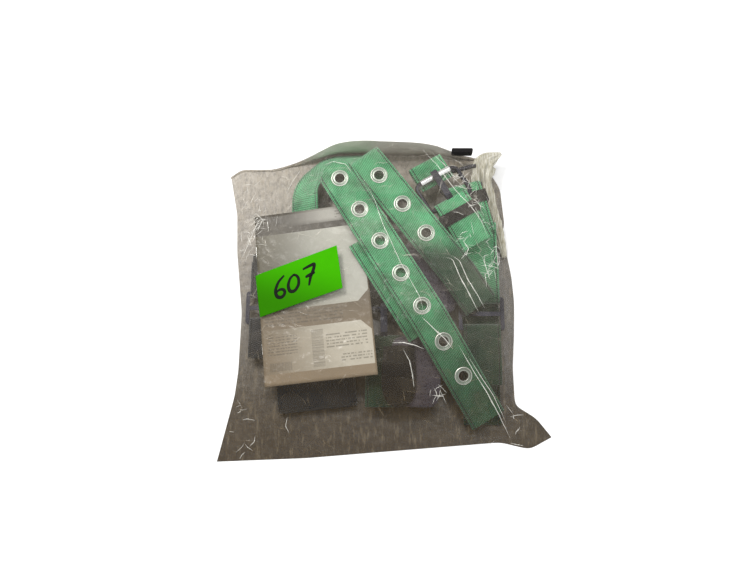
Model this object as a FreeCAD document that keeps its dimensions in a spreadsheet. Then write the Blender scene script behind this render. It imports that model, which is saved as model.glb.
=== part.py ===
import FreeCAD, Part
import math
import os

import Sketcher

# A full-body safety harness as it is sold: folded flat with its booklet in a clear bag.
# Row frame: the pack lies on its back film at z = 0, +X to its right, +Y to the bag's
# folded top edge, origin at the middle of its footprint. Millimetres.

Vec = FreeCAD.Vector
Turn = FreeCAD.Rotation
Place = FreeCAD.Placement

# ---------------------------------------------------------------- driving sizes

SIZES = {
    "web_width": 44.0,  # harness webbing
    "web_thick": 2.4,
    "tongue_round": 20.0,
    "doubled_thick": 4.8,  # two layers of webbing sewn together
    "eyelet_pitch": 46.0,
    "eyelet_bore": 5.6,  # radius
    "eyelet_barrel": 6.3,
    "eyelet_hole": 6.45,  # radius punched in the webbing
    "eyelet_flange": 10.7,
    "eyelet_rise": 1.1,
    "washer_thick": 0.8,
    "wire_radius": 2.75,  # tongue-buckle frame
    "frame_width": 56.0,  # between the wire's centrelines
    "frame_length": 38.0,
    "roller_radius": 4.3,
    "roller_length": 46.0,
    "pin_gap": 0.08,  # radial running clearance
    "prong_width": 8.0,
    "prong_thick": 3.2,
    "ring_wire": 3.6,  # D-ring wire radius
    "ring_width": 56.0,
    "ring_height": 60.0,
    "pad_corner": 12.0,
    "pad_soft_edge": 2.5,
    "dorsal_width": 67.0,
    "dorsal_length": 94.0,
    "dorsal_thick": 6.0,
    "shoulder_pad_width": 50.0,
    "shoulder_pad_length": 100.0,
    "shoulder_pad_thick": 9.0,
    "leg_pad_width": 60.0,
    "leg_pad_length": 82.0,
    "leg_pad_thick": 7.0,
    "pouch_width": 38.0,
    "pouch_length": 70.0,
    "pouch_thick": 3.2,
    "flap_length": 34.0,
    "flap_thick": 1.4,
    "keeper_wall": 2.2,
    "keeper_gap": 0.5,
    "keeper_length": 15.0,
    "adjuster_width": 54.0,
    "adjuster_length": 40.0,
    "adjuster_thick": 4.0,
    "adjuster_rim": 4.4,
    "bar_width": 5.2,
    "link_width": 52.0,  # chest link
    "link_length": 26.0,
    "link_wire": 2.6,
    "booklet_width": 131.0,
    "booklet_length": 208.0,
    "pages_thick": 2.4,
    "cover_thick": 0.4,
    "label_width": 101.6,  # a 4 x 2 inch lot label
    "label_length": 50.8,
    "label_thick": 0.25,
    "film": 0.5,  # each film of the bag
    "pack_top": 60.0,  # top of the bag over the crossed leg straps
}

doc = FreeCAD.newDocument("safety_harness")
sheet = doc.addObject("Spreadsheet::Sheet", "Sizes")
for row, (alias, value) in enumerate(SIZES.items(), start=1):
    sheet.set(f"A{row}", alias)
    sheet.set(f"B{row}", str(value))
    sheet.setAlias(f"B{row}", alias)
doc.recompute()

WEB = sheet.web_thick
DOUBLED = sheet.doubled_thick
HALF_WEB = sheet.web_width / 2
made = []

# ---------------------------------------------------------------- small helpers


def placed(x, y, z=0.0, turn=0.0, lean=0.0, roll=0.0):
    """A place: turned about Z, then leant nose-down about its own Y, then rolled about X."""
    spin = Turn(Vec(0, 0, 1), turn) * Turn(Vec(0, 1, 0), lean) * Turn(Vec(1, 0, 0), roll)
    return Place(Vec(x, y, z), spin)


def new_body(label, place=None):
    body = doc.addObject("PartDesign::Body", label)
    body.Label = label
    body.AllowCompound = True
    body.Placement = place or Place()
    made.append(body)
    return body


def new_sketch(body, name, plane, offset=None):
    sketch = body.newObject("Sketcher::SketchObject", name)
    support = next(f for f in body.Origin.OriginFeatures if f.Role == plane)
    sketch.AttachmentSupport = [(support, "")]
    sketch.MapMode = "FlatFace"
    sketch.AttachmentOffset = offset or Place()
    return sketch


def bind(sketch, constraint, name, expression):
    """Adds a dimension to a sketch and binds it to the sheet."""
    index = sketch.addConstraint(constraint)
    sketch.renameConstraint(index, name)
    sketch.setExpression("Constraints." + name, expression)


def rectangle(sketch, wide, long):
    """A rectangle centred on the sketch's origin, its two sides bound to sheet expressions."""
    w, h = value_of(wide) / 2, value_of(long) / 2
    corner = [Vec(-w, -h), Vec(w, -h), Vec(w, h), Vec(-w, h)]
    first = sketch.GeometryCount
    for i in range(4):
        sketch.addGeometry(Part.LineSegment(corner[i], corner[(i + 1) % 4]))
    for i in range(4):
        following = first + (i + 1) % 4
        sketch.addConstraint(Sketcher.Constraint("Coincident", first + i, 2, following, 1))
        kind = "Horizontal" if i % 2 == 0 else "Vertical"
        sketch.addConstraint(Sketcher.Constraint(kind, first + i))
    sketch.addConstraint(Sketcher.Constraint("Symmetric", first, 1, first + 2, 1, -1, 1))
    bind(sketch, Sketcher.Constraint("DistanceX", first, 1, first, 2, 2 * w), f"wide{first}", wide)
    bind(sketch, Sketcher.Constraint("DistanceY", first + 1, 1, first + 1, 2, 2 * h), f"long{first}", long)


def circle(sketch, radius, x=0.0, y=0.0):
    """A circle whose radius is bound to a sheet expression."""
    index = sketch.addGeometry(Part.Circle(Vec(x, y), Vec(0, 0, 1), value_of(radius)))
    bind(sketch, Sketcher.Constraint("Radius", index, value_of(radius)), f"radius{index}", radius)


def value_of(expression):
    """The number that a sheet expression stands for."""
    names = {alias: sheet.get(alias) for alias in SIZES}
    words = expression.replace("Sizes.", "")
    for alias in sorted(names, key=len, reverse=True):
        words = words.replace(alias, repr(names[alias]))
    return FreeCAD.Units.Quantity(words).Value


def round_arc(centre, start, end):
    """The shorter arc between two points about a centre, stored anticlockwise as sketches keep it."""
    first = math.atan2(start.y - centre.y, start.x - centre.x)
    last = math.atan2(end.y - centre.y, end.x - centre.x)
    if (last - first) % (2 * math.pi) > math.pi + 1e-6:
        first, last = last, first
    radius = (start - centre).Length
    return Part.ArcOfCircle(Part.Circle(centre, Vec(0, 0, 1), radius), first, first + (last - first) % (2 * math.pi))


def rounded_run(corners, closed=False):
    """Straight runs joined by tangent arcs. Each corner is (a, b, radius) in the sketch's plane."""
    points = [Vec(a, b) for a, b, _ in corners]
    count = len(corners)
    arcs, entry, leave = {}, {}, {}
    for i, (_, _, radius) in enumerate(corners):
        if not closed and i in (0, count - 1):
            entry[i] = leave[i] = points[i]
            continue
        back = (points[i - 1] - points[i]).normalize()
        ahead = (points[(i + 1) % count] - points[i]).normalize()
        turn = math.pi - back.getAngle(ahead)
        reach = radius * math.tan(turn / 2)
        entry[i], leave[i] = points[i] + back * reach, points[i] + ahead * reach
        centre = points[i] + (back + ahead).normalize() * (radius / math.cos(turn / 2))
        arcs[i] = round_arc(centre, entry[i], leave[i])
    ordered = []
    for i in range(count):
        if i in arcs:
            ordered.append(arcs[i])
        following = (i + 1) % count
        if (closed or following) and (entry[following] - leave[i]).Length > 1e-4:
            ordered.append(Part.LineSegment(leave[i], entry[following]))
    return ordered


def draw(sketch, pieces, closed=False):
    first = sketch.GeometryCount
    for piece in pieces:
        sketch.addGeometry(piece)
    count = len(pieces)
    ends = [end_indices(sketch.Geometry[first + i], pieces, i, closed) for i in range(count)]
    for i in range(count if closed else count - 1):
        following = (i + 1) % count
        here, there = ends[i][1], ends[following][0]
        sketch.addConstraint(Sketcher.Constraint("Coincident", first + i, here, first + following, there))


def end_indices(piece, pieces, i, closed):
    """(start, end) point numbers of a piece as the run passes it. An arc is always stored anticlockwise."""
    count = len(pieces)
    has_next = closed or i + 1 < count
    other = pieces[(i + 1) % count] if has_next else pieces[i - 1]
    joints = (other.StartPoint, other.EndPoint)
    at_end = min((piece.EndPoint - p).Length for p in joints)
    at_start = min((piece.StartPoint - p).Length for p in joints)
    forward = (at_end <= at_start) if has_next else (at_start <= at_end)
    return (1, 2) if forward else (2, 1)


def pad(body, sketch, length, name="pad", middle=False, down=False):
    feature = body.newObject("PartDesign::Pad", name)
    feature.Profile = sketch
    feature.setExpression("Length", length)
    feature.Midplane = middle
    feature.Reversed = down
    doc.recompute()
    return feature


def cut_through(body, sketch, name="cut"):
    """Cuts a sketch right through the body, both ways."""
    feature = body.newObject("PartDesign::Pocket", name)
    feature.Profile = sketch
    feature.Type = "ThroughAll"
    feature.Midplane = True
    doc.recompute()
    return feature


def sweep(body, section, spine, name="sweep"):
    feature = body.newObject("PartDesign::AdditivePipe", name)
    feature.Profile = section
    feature.Spine = (spine, [])
    doc.recompute()
    return feature


def soften(body, base, edges, radius, name="soft_edges"):
    feature = body.newObject("PartDesign::Fillet", name)
    feature.Base = (base, edges)
    feature.setExpression("Radius", radius)
    doc.recompute()
    return feature


def edges_where(shape, test):
    """Names of the edges whose two ends and middle all pass a test."""
    found = []
    for number, edge in enumerate(shape.Edges, start=1):
        low, high = edge.ParameterRange
        if all(test(edge.valueAt(low + (high - low) * share)) for share in (0, 0.5, 1)):
            found.append(f"Edge{number}")
    return found


# ---------------------------------------------------------------- webbing


def webbing(label, place, corners, thick="Sizes.web_thick"):
    """A strap that folds in its own upright plane: corners are (along, height, radius)."""
    body = new_body(label, place)
    start_along, start_height, _ = corners[0]
    section = new_sketch(
        body, "section", "YZ_Plane", Place(Vec(0, start_height, start_along), Turn())
    )
    rectangle(section, "Sizes.web_width", thick)
    route = new_sketch(body, "route", "XZ_Plane")
    draw(route, rounded_run(corners))
    doc.recompute()
    sweep(body, section, route, "strap")
    return body


def fold(along, low, high, outward=-1):
    """The two corners of a half-round fold that climbs from low to high at a place along a strap."""
    radius = (high - low) / 2
    tip = along + outward * radius
    return [(tip, low, radius), (tip, high, radius)]


def punched(body, place, count):
    """A row of eyelet holes through a strap, square to it at the given local place."""
    holes = new_sketch(body, "eyelet_hole", "XY_Plane", place)
    circle(holes, "Sizes.eyelet_hole")
    depth = body.newObject("PartDesign::Pocket", "punch")
    depth.Profile = holes
    depth.Type = "Length"
    depth.Midplane = True
    depth.setExpression("Length", "Sizes.doubled_thick * 1.6")
    doc.recompute()
    repeat(body, depth, holes, count)


def repeat(body, feature, along_sketch, count):
    """Repeats a feature at the eyelet pitch along its own sketch's X axis."""
    row_of = body.newObject("PartDesign::LinearPattern", "row")
    row_of.Originals = [feature]
    row_of.Direction = (along_sketch, ["H_Axis"])
    row_of.Mode = "Spacing"
    row_of.Occurrences = count
    row_of.setExpression("Offset", "Sizes.eyelet_pitch")
    body.Tip = row_of
    doc.recompute()


def turned_ring(body, name, place, outline):
    """A ring turned about the vertical axis of a local place. outline is (radius, height) points."""
    upright = place * Place(Vec(), Turn(Vec(1, 0, 0), 90))
    support_turn = Place(Vec(), Turn(Vec(1, 0, 0), 90))
    section = new_sketch(body, name + "_section", "XZ_Plane", support_turn.inverse() * upright)
    points = [Vec(r, h) for r, h in outline]
    first = section.GeometryCount
    for i, point in enumerate(points):
        section.addGeometry(Part.LineSegment(point, points[(i + 1) % len(points)]))
    for i in range(len(points)):
        following = first + (i + 1) % len(points)
        section.addConstraint(Sketcher.Constraint("Coincident", first + i, 2, following, 1))
    doc.recompute()
    ring = body.newObject("PartDesign::Revolution", name)
    ring.Profile = section
    ring.ReferenceAxis = (section, ["V_Axis"])
    ring.Angle = 360
    doc.recompute()
    return ring, section


def eyelet_row(side, place, rows):
    """The eyelets of one leg strap, and the washers that they are rolled over underneath."""
    eyelets = new_body(f"leg_strap_{side}_eyelets", place)
    washers = new_body(f"leg_strap_{side}_washers", place)
    top, under = DOUBLED / 2, -DOUBLED / 2
    bore, barrel, flange = sheet.eyelet_bore, sheet.eyelet_barrel, sheet.eyelet_flange
    rise, washer = sheet.eyelet_rise, sheet.washer_thick
    lip = 1.4  # how far the rolled end spreads over the washer
    for number, (spot, count) in enumerate(rows):
        eyelet_outline = [
            (bore, under - washer - 0.9),
            (barrel + lip, under - washer - 0.9),
            (barrel + lip, under - washer),
            (barrel, under - washer),
            (barrel, top),
            (flange, top),
            (flange - 0.5, top + rise * 0.6),
            (flange - 2.2, top + rise),
            (bore + 0.8, top + rise),
            (bore, top + rise * 0.4),
        ]
        washer_outline = [
            (barrel + 0.15, under - washer),
            (flange, under - washer),
            (flange, under),
            (barrel + 0.15, under),
        ]
        ring, section = turned_ring(eyelets, f"eyelet{number}", spot, eyelet_outline)
        repeat(eyelets, ring, section, count)
        ring, section = turned_ring(washers, f"washer{number}", spot, washer_outline)
        repeat(washers, ring, section, count)


def leg_strap(side, place, top, drop_at, end, upper_end, first, flat_count, count):
    """A doubled leg strap: its upper end, then flat on top, then sloping to its low end."""
    slope = math.radians(17)
    low_end = (end, top - (end - drop_at) * math.tan(slope), 0)
    corners = upper_end + [(drop_at, top, 60.0), low_end]
    body = webbing(f"leg_strap_{side}", place, corners, "Sizes.doubled_thick")
    if len(upper_end) == 1:
        start = upper_end[0][0]
        across = sheet.web_width / 2
        corner_edges = edges_where(
            body.Tip.Shape,
            lambda point: abs(point.x - start) < 0.01 and abs(abs(point.y) - across) < 0.01,
        )
        soften(body, body.Tip, corner_edges, "Sizes.tongue_round", "tongue_end")
    rows = [(Place(Vec(first, 0, top), Turn()), flat_count)]
    if count > flat_count:
        along = first + flat_count * sheet.eyelet_pitch
        run = (along - drop_at) / math.cos(slope)
        foot = Vec(drop_at + run * math.cos(slope), 0, top - run * math.sin(slope))
        rows.append((Place(foot, Turn(Vec(0, 1, 0), math.degrees(slope))), count - flat_count))
    for spot, how_many in rows:
        punched(body, spot, how_many)
    eyelet_row(side, place, rows)


LEFT_LEG = placed(-70.9, 170.3, 0, -58.5)
RIGHT_LEG = placed(-27.2, 174.8, 0, -52.7)
leg_strap("left", LEFT_LEG, 54.0, 237.0, 366.0, [(13.0, 54.0, 0)], 35.0, 5, 7)
leg_strap("right", RIGHT_LEG, 48.0, 185.0, 232.0, [(60.0, 34.0, 0)] + fold(9.4, 34.0, 48.0), 35.0, 3, 3)

# Straps folded in flat layers. Along-strap distances run from each strap's own place.
LAYER = 5.0  # from one layer of a loose fold to the next
FLOOR_RUN = 0.9 + WEB / 2 + 0.5
SECOND, THIRD, FOURTH = (FLOOR_RUN + LAYER * n for n in (1, 2, 3.15))
LOOP = sheet.wire_radius + 0.35 + WEB / 2  # centreline radius of webbing round a bar or rim
SPAN = sheet.adjuster_length - sheet.adjuster_rim  # between an adjuster's two rims
RIGHT_SIDE = placed(115.0, 104.0, 0, -90.0)
RIGHT_RIM = 104.0
LEFT_SIDE = placed(-138.0, 62.0, 0, -90.0)
LEFT_RIM = 52.0
webbing(
    "shoulder_strap_right",
    RIGHT_SIDE,
    [(250, FLOOR_RUN, 0)]
    + fold(6, FLOOR_RUN, SECOND)
    + fold(174, SECOND, THIRD, +1)
    + fold(8, THIRD, FOURTH)
    + fold(RIGHT_RIM, FOURTH, FOURTH + 2 * LOOP, +1)
    + [(60, FOURTH + 2 * LOOP, 0)],
)
webbing(
    "torso_strap_right",
    RIGHT_SIDE,
    [(RIGHT_RIM + SPAN + 28, FOURTH, 0)]
    + fold(RIGHT_RIM + SPAN, FOURTH, FOURTH + 2 * LOOP)
    + [(186, FOURTH + 2 * LOOP, 60.0), (206, FOURTH + 2 * LOOP - 6, 0)],
)
webbing(
    "torso_strap_left",
    LEFT_SIDE,
    [(46, FLOOR_RUN, 0)]
    + fold(4, FLOOR_RUN, SECOND)
    + fold(LEFT_RIM, SECOND, SECOND + 2 * LOOP, +1)
    + [(14, SECOND + 2 * LOOP, 0)],
)
webbing(
    "side_strap_left",
    LEFT_SIDE,
    [(LEFT_RIM + SPAN + 26, SECOND, 0)]
    + fold(LEFT_RIM + SPAN, SECOND, SECOND + 2 * LOOP)
    + [(LEFT_RIM + SPAN + 44, SECOND + 2 * LOOP, 0)],
)
webbing(
    "back_strap",
    placed(-64.0, 22.0, 0, 0.0),
    [(20, FLOOR_RUN, 0)] + fold(146, FLOOR_RUN, SECOND, +1) + [(6, SECOND, 0)],
)
webbing(
    "sub_pelvic_strap",
    placed(-128.0, -112.0, 0, 6.0),
    [(94, FLOOR_RUN, 0)]
    + fold(8, FLOOR_RUN, SECOND)
    + fold(92, SECOND, THIRD, +1)
    + [(4, THIRD, 0)],
)
webbing(
    "chest_strap_left",
    placed(-22.6, 68.5, 0, -58.5),
    [(0, 48.0, 0), (112, 48.0, 60.0), (134, 46.0, 0)],
)
webbing(
    "waist_strap",
    placed(44.0, 180.0, 0, -60.0),
    [(38, 30.2, 0)] + fold(14, 30.2, 36.0) + [(44, 36.0, 0)],
)

# ---------------------------------------------------------------- left shoulder strap: a banked arch


def arch_band(label, place, corners, bank):
    """A strap that turns in plan, banked so that its outer edge lies low."""
    body = new_body(label, place)
    start_x, start_y, _ = corners[0]
    section = new_sketch(
        body, "section", "XZ_Plane", Place(Vec(start_x, 0, -start_y), Turn(Vec(0, 0, 1), bank))
    )
    rectangle(section, "Sizes.web_width", "Sizes.web_thick")
    route = new_sketch(body, "route", "XY_Plane")
    draw(route, rounded_run(corners))
    doc.recompute()
    sweep(body, section, route, "strap")
    return body


arch_band(
    "shoulder_strap_left",
    placed(0, 0, 15.2),
    [(-94, 14, 0), (-94, 166, 50.0), (-28, 166, 0)],
    35.0,
)

# ---------------------------------------------------------------- tongue buckles


def is_on(piece, point):
    if not isinstance(piece, Part.LineSegment):
        return False
    return abs((piece.StartPoint - point).Length + (piece.EndPoint - point).Length - piece.length()) < 1e-6


def rod(body, radius, length, place, name="rod"):
    """A round bar along the body's Y axis, centred on a local place."""
    section = new_sketch(body, name + "_end", "XZ_Plane", Place(Vec(place.x, place.z, -place.y), Turn()))
    circle(section, radius)
    doc.recompute()
    return pad(body, section, length, name, middle=True)


def wire_frame(label, place, wide, long, wire, corner):
    """A closed rectangle of round wire. Its back bar is on local Y, and it reaches along +X."""
    frame = new_body(label, place)
    corners = [
        (long, -wide / 2, corner),
        (long, wide / 2, corner),
        (0, wide / 2, corner * 0.7),
        (0, -wide / 2, corner * 0.7),
    ]
    section = new_sketch(frame, "wire", "XZ_Plane", Place(Vec(long, 0, 0), Turn()))
    circle(section, wire)
    spine = new_sketch(frame, "centreline", "XY_Plane")
    run = rounded_run(corners, closed=True)
    middle = Vec(long, 0)
    split_at = next(i for i, p in enumerate(run) if is_on(p, middle))
    whole = run[split_at]
    ordered = [Part.LineSegment(middle, whole.EndPoint), *run[split_at + 1 :], *run[:split_at]]
    draw(spine, [*ordered, Part.LineSegment(whole.StartPoint, middle)], closed=True)
    doc.recompute()
    sweep(frame, section, spine, "ring")
    return frame


def tongue_buckle(side, place):
    """Frame, roller and prong. The webbing's bar is on local Y, and the roller is along +X."""
    long = sheet.frame_length
    wire_frame(f"tongue_buckle_{side}_frame", place, sheet.frame_width, long, "Sizes.wire_radius", 7.0)

    roller = new_body(f"tongue_buckle_{side}_roller", place)
    rod(roller, "Sizes.roller_radius", "Sizes.roller_length - 6", Vec(long, 0, 0), "tube")
    bore = new_sketch(roller, "bore", "XZ_Plane", Place(Vec(long, 0, 0), Turn()))
    circle(bore, "Sizes.wire_radius + Sizes.pin_gap")
    doc.recompute()
    cut_through(roller, bore)

    prong = new_body(f"tongue_buckle_{side}_prong", place)
    eye = new_sketch(prong, "eye", "XZ_Plane")
    thick = sheet.prong_thick
    reach = long + sheet.roller_radius + 1.5
    lift = sheet.roller_radius + 0.3  # the underside of the tip, over the roller
    nose = [
        Vec(0, lift - 1.5),
        Vec(8, lift + thick - 1.2),
        Vec(long - 8, lift + thick - 0.6),
        Vec(reach, lift + thick - 1.4),
        Vec(reach, lift),
        Vec(long - 8, lift),
        Vec(8, lift - 3.4),
        Vec(0, lift - 4.0),
    ]
    circle(eye, "Sizes.wire_radius + Sizes.pin_gap + 1.8")
    doc.recompute()
    pad(prong, eye, "Sizes.prong_width", "eye", middle=True)
    blade = new_sketch(prong, "blade", "XZ_Plane")
    for i, point in enumerate(nose):
        blade.addGeometry(Part.LineSegment(point, nose[(i + 1) % len(nose)]))
    for i in range(len(nose)):
        blade.addConstraint(Sketcher.Constraint("Coincident", i, 2, (i + 1) % len(nose), 1))
    doc.recompute()
    pad(prong, blade, "Sizes.prong_width", "tongue", middle=True)
    hole = new_sketch(prong, "hole", "XZ_Plane")
    circle(hole, "Sizes.wire_radius + Sizes.pin_gap")
    doc.recompute()
    cut_through(prong, hole)


BUCKLE_HEIGHT = 42.0
BUCKLE_ALONG = 74.0
RIGHT_BUCKLE_STRAP = placed(44.0, 180.0, 0, -60.0)
right_crossbar = RIGHT_BUCKLE_STRAP.multVec(Vec(BUCKLE_ALONG, 0, BUCKLE_HEIGHT))
tongue_buckle("right", placed(*right_crossbar, turn=120.0))
LEFT_BUCKLE_STRAP = placed(0.0, -48.0, 0, -90.0)
LOW_BUCKLE = 18.4
left_crossbar = LEFT_BUCKLE_STRAP.multVec(Vec(0, 0, LOW_BUCKLE))
tongue_buckle("left", placed(*left_crossbar, turn=90.0))


def looped_strap(label, place, bar_at, bar_height, upper, prong_slot):
    """Webbing looped round a bar and sewn back on itself, slotted for the prong."""
    low, high = bar_height - LOOP, bar_height + LOOP
    corners = [(bar_at + 36, low, 0)] + fold(bar_at, low, high) + upper(high)
    body = webbing(label, place, corners)
    if prong_slot:
        slot = new_sketch(body, "prong_slot", "XY_Plane", Place(Vec(bar_at, 0, bar_height), Turn()))
        side = prong_slot / 2
        outline = [(-2 * LOOP, -side), (2 * LOOP, -side), (2 * LOOP, side), (-2 * LOOP, side)]
        points = [Vec(a, b) for a, b in outline]
        for i, point in enumerate(points):
            slot.addGeometry(Part.LineSegment(point, points[(i + 1) % 4]))
        doc.recompute()
        notch = body.newObject("PartDesign::Pocket", "prong_notch")
        notch.Profile = slot
        notch.Type = "Length"
        notch.Length = 4 * LOOP
        notch.Midplane = True
        doc.recompute()
    return body


PRONG_SLOT = sheet.prong_width + 3.0
looped_strap(
    "buckle_strap_right",
    RIGHT_BUCKLE_STRAP,
    BUCKLE_ALONG,
    BUCKLE_HEIGHT,
    lambda high: [(BUCKLE_ALONG + 30, high, 80.0), (BUCKLE_ALONG + 60, high - 8, 0)],
    PRONG_SLOT,
)
looped_strap(
    "buckle_strap_left",
    LEFT_BUCKLE_STRAP,
    0.0,
    LOW_BUCKLE,
    lambda high: [(80.0, high, 0)],
    PRONG_SLOT,
)

# ---------------------------------------------------------------- torso adjuster on the right shoulder strap


def adjuster(side, place):
    """A friction buckle: a frame with one window, and a bar that slides in grooves in its side rims."""
    frame = new_body(f"torso_adjuster_{side}_frame", place)
    plate = new_sketch(frame, "plate", "XY_Plane")
    rectangle(plate, "Sizes.adjuster_length", "Sizes.adjuster_width")
    doc.recompute()
    block = pad(frame, plate, "Sizes.adjuster_thick", "plate", middle=True)
    half_long, half_wide = sheet.adjuster_length / 2, sheet.adjuster_width / 2

    def at_corner(p):
        return abs(abs(p.x) - half_long) < 0.01 and abs(abs(p.y) - half_wide) < 0.01

    soften(frame, block, edges_where(block.Shape, at_corner), "Sizes.adjuster_rim * 0.8")
    window = new_sketch(frame, "window", "XY_Plane")
    rectangle(
        window,
        "Sizes.adjuster_length - 2 * Sizes.adjuster_rim",
        "Sizes.adjuster_width - 2 * Sizes.adjuster_rim",
    )
    doc.recompute()
    cut_through(frame, window, "window")
    groove = new_sketch(frame, "groove", "XY_Plane")
    rectangle(groove, "16 mm", "Sizes.adjuster_width - 2 * Sizes.adjuster_rim + 4.4")
    doc.recompute()
    slot = frame.newObject("PartDesign::Pocket", "side_groove")
    slot.Profile = groove
    slot.Type = "Length"
    slot.Length = 2.4
    slot.Midplane = True
    doc.recompute()
    bar = new_body(f"torso_adjuster_{side}_slide_bar", place)
    section = new_sketch(bar, "bar_end", "XZ_Plane")
    rectangle(section, "Sizes.bar_width", "2 mm")
    doc.recompute()
    pad(bar, section, "Sizes.adjuster_width - 2 * Sizes.adjuster_rim + 3.6", "bar", middle=True)


right_adjuster = RIGHT_SIDE.multVec(Vec(RIGHT_RIM + SPAN / 2, 0, FOURTH + LOOP))
adjuster("right", placed(*right_adjuster, turn=-90.0))
left_adjuster = LEFT_SIDE.multVec(Vec(LEFT_RIM + SPAN / 2, 0, SECOND + LOOP))
adjuster("left", placed(*left_adjuster, turn=-90.0))

# ---------------------------------------------------------------- chest link and webbing keepers

CHEST_STRAP = placed(90.0, 164.0, 0, -74.0)
LINK_AT = sheet.link_length
LINK_HEIGHT = 26.0
looped_strap(
    "chest_strap_right",
    CHEST_STRAP,
    LINK_AT,
    LINK_HEIGHT,
    lambda high: [(LINK_AT + 26, high, 60.0), (LINK_AT + 60, high - 7, 0)],
    0,
)
link_place = CHEST_STRAP.multVec(Vec(LINK_AT, 0, LINK_HEIGHT))
wire_frame(
    "chest_link",
    placed(*link_place, turn=106.0),
    sheet.link_width,
    sheet.link_length,
    "Sizes.link_wire",
    6.0,
)


def keeper(label, place, along, height):
    """A loop round both layers of a looped strap."""
    body = new_body(label, place)
    centre = Vec(along, 0, height)
    gap, wall = "2 * Sizes.keeper_gap", "2 * Sizes.keeper_wall"
    inner_high = f"{2 * LOOP} + Sizes.web_thick + {gap}"
    outer = new_sketch(body, "outer", "YZ_Plane", Place(Vec(0, height, along), Turn()))
    rectangle(outer, f"Sizes.web_width + {gap} + {wall}", f"{inner_high} + Sizes.keeper_wall")
    doc.recompute()
    pad(body, outer, "Sizes.keeper_length", "loop", middle=True)
    inner = new_sketch(body, "inner", "YZ_Plane", Place(Vec(0, height, along), Turn()))
    rectangle(inner, f"Sizes.web_width + {gap}", inner_high)
    doc.recompute()
    hole = body.newObject("PartDesign::Pocket", "opening")
    hole.Profile = inner
    hole.Type = "Length"
    hole.Length = 2.5 * sheet.keeper_length
    hole.Midplane = True
    doc.recompute()
    return centre


keeper("chest_keeper", CHEST_STRAP, LINK_AT + 16, LINK_HEIGHT)
keeper("buckle_keeper_right", RIGHT_BUCKLE_STRAP, BUCKLE_ALONG + 19, BUCKLE_HEIGHT)

# ---------------------------------------------------------------- pads and the dorsal ring


def padded_plate(label, place, wide, long, thick, corner="Sizes.pad_corner", edge="Sizes.pad_soft_edge"):
    """A flat pad with round corners and soft edges, standing on its place."""
    body = new_body(label, place)
    outline = new_sketch(body, "outline", "XY_Plane")
    rectangle(outline, wide, long)
    doc.recompute()
    block = pad(body, outline, thick, "pad")
    half_wide, half_long = value_of(wide) / 2, value_of(long) / 2

    def at_corner(p):
        return abs(abs(p.x) - half_wide) < 0.01 and abs(abs(p.y) - half_long) < 0.01

    rounded = soften(body, block, edges_where(block.Shape, at_corner), corner, "round_corners")
    if edge:
        high = value_of(thick)
        rim = edges_where(rounded.Shape, lambda p: p.z < 0.01 or p.z > high - 0.01)
        soften(body, rounded, rim, edge)
    return body


padded_plate(
    "shoulder_pad_right",
    placed(45.4, 22.6, 17.0, 30.0),
    "Sizes.shoulder_pad_width",
    "Sizes.shoulder_pad_length",
    "Sizes.shoulder_pad_thick",
)
padded_plate(
    "shoulder_pad_left",
    placed(-66.0, -42.0, 16.0, -4.0),
    "Sizes.shoulder_pad_width",
    "Sizes.shoulder_pad_length",
    "Sizes.shoulder_pad_thick",
)
padded_plate(
    "leg_pad",
    placed(36.0, -88.0, 26.0, -4.0),
    "Sizes.leg_pad_width",
    "Sizes.leg_pad_length",
    "Sizes.leg_pad_thick",
)
POUCH = placed(17.0, -94.0, 33.4, 0.0)
padded_plate(
    "label_pouch",
    POUCH,
    "Sizes.pouch_width",
    "Sizes.pouch_length",
    "Sizes.pouch_thick",
    edge="Sizes.pouch_thick * 0.3",
)

flap = new_body("label_pouch_flap", POUCH * Place(Vec(0, 0, sheet.pouch_thick + 0.3), Turn()))
flap_outline = new_sketch(flap, "outline", "XY_Plane", Place(Vec(0, 17.0, 0), Turn()))
rectangle(flap_outline, "Sizes.pouch_width - 2", "Sizes.flap_length")
doc.recompute()
pad(flap, flap_outline, "Sizes.flap_thick", "flap")

DORSAL = placed(-34.9, 62.0, 12.6)
RING_AT = -24.0  # the ring's straight bar, across the pad
RING_RISE = sheet.dorsal_thick + sheet.ring_wire + 0.6
dorsal = padded_plate(
    "dorsal_pad",
    DORSAL,
    "Sizes.dorsal_width",
    "Sizes.dorsal_length",
    "Sizes.dorsal_thick",
    edge="Sizes.dorsal_thick * 0.3",
)
LUG = 13.0
for name, side in (("left_lug", -1), ("right_lug", 1)):
    lug_section = new_sketch(
        dorsal, name + "_section", "YZ_Plane", Place(Vec(RING_AT, RING_RISE, side * 12.0 - LUG / 2), Turn())
    )
    reach = sheet.ring_wire + 3.0
    foot = -(RING_RISE - sheet.dorsal_thick + 1.0)
    lug_section.addGeometry(Part.LineSegment(Vec(-reach, 0), Vec(-reach, foot)))
    lug_section.addGeometry(Part.LineSegment(Vec(-reach, foot), Vec(reach, foot)))
    lug_section.addGeometry(Part.LineSegment(Vec(reach, foot), Vec(reach, 0)))
    lug_section.addGeometry(round_arc(Vec(0, 0), Vec(reach, 0), Vec(-reach, 0)))
    doc.recompute()
    pad(dorsal, lug_section, f"{LUG} mm", name)
ring_hole = new_sketch(dorsal, "ring_hole", "YZ_Plane", Place(Vec(RING_AT, RING_RISE, 0), Turn()))
circle(ring_hole, "Sizes.ring_wire + Sizes.pin_gap")
doc.recompute()
cut_through(dorsal, ring_hole, "ring_bore")

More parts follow.
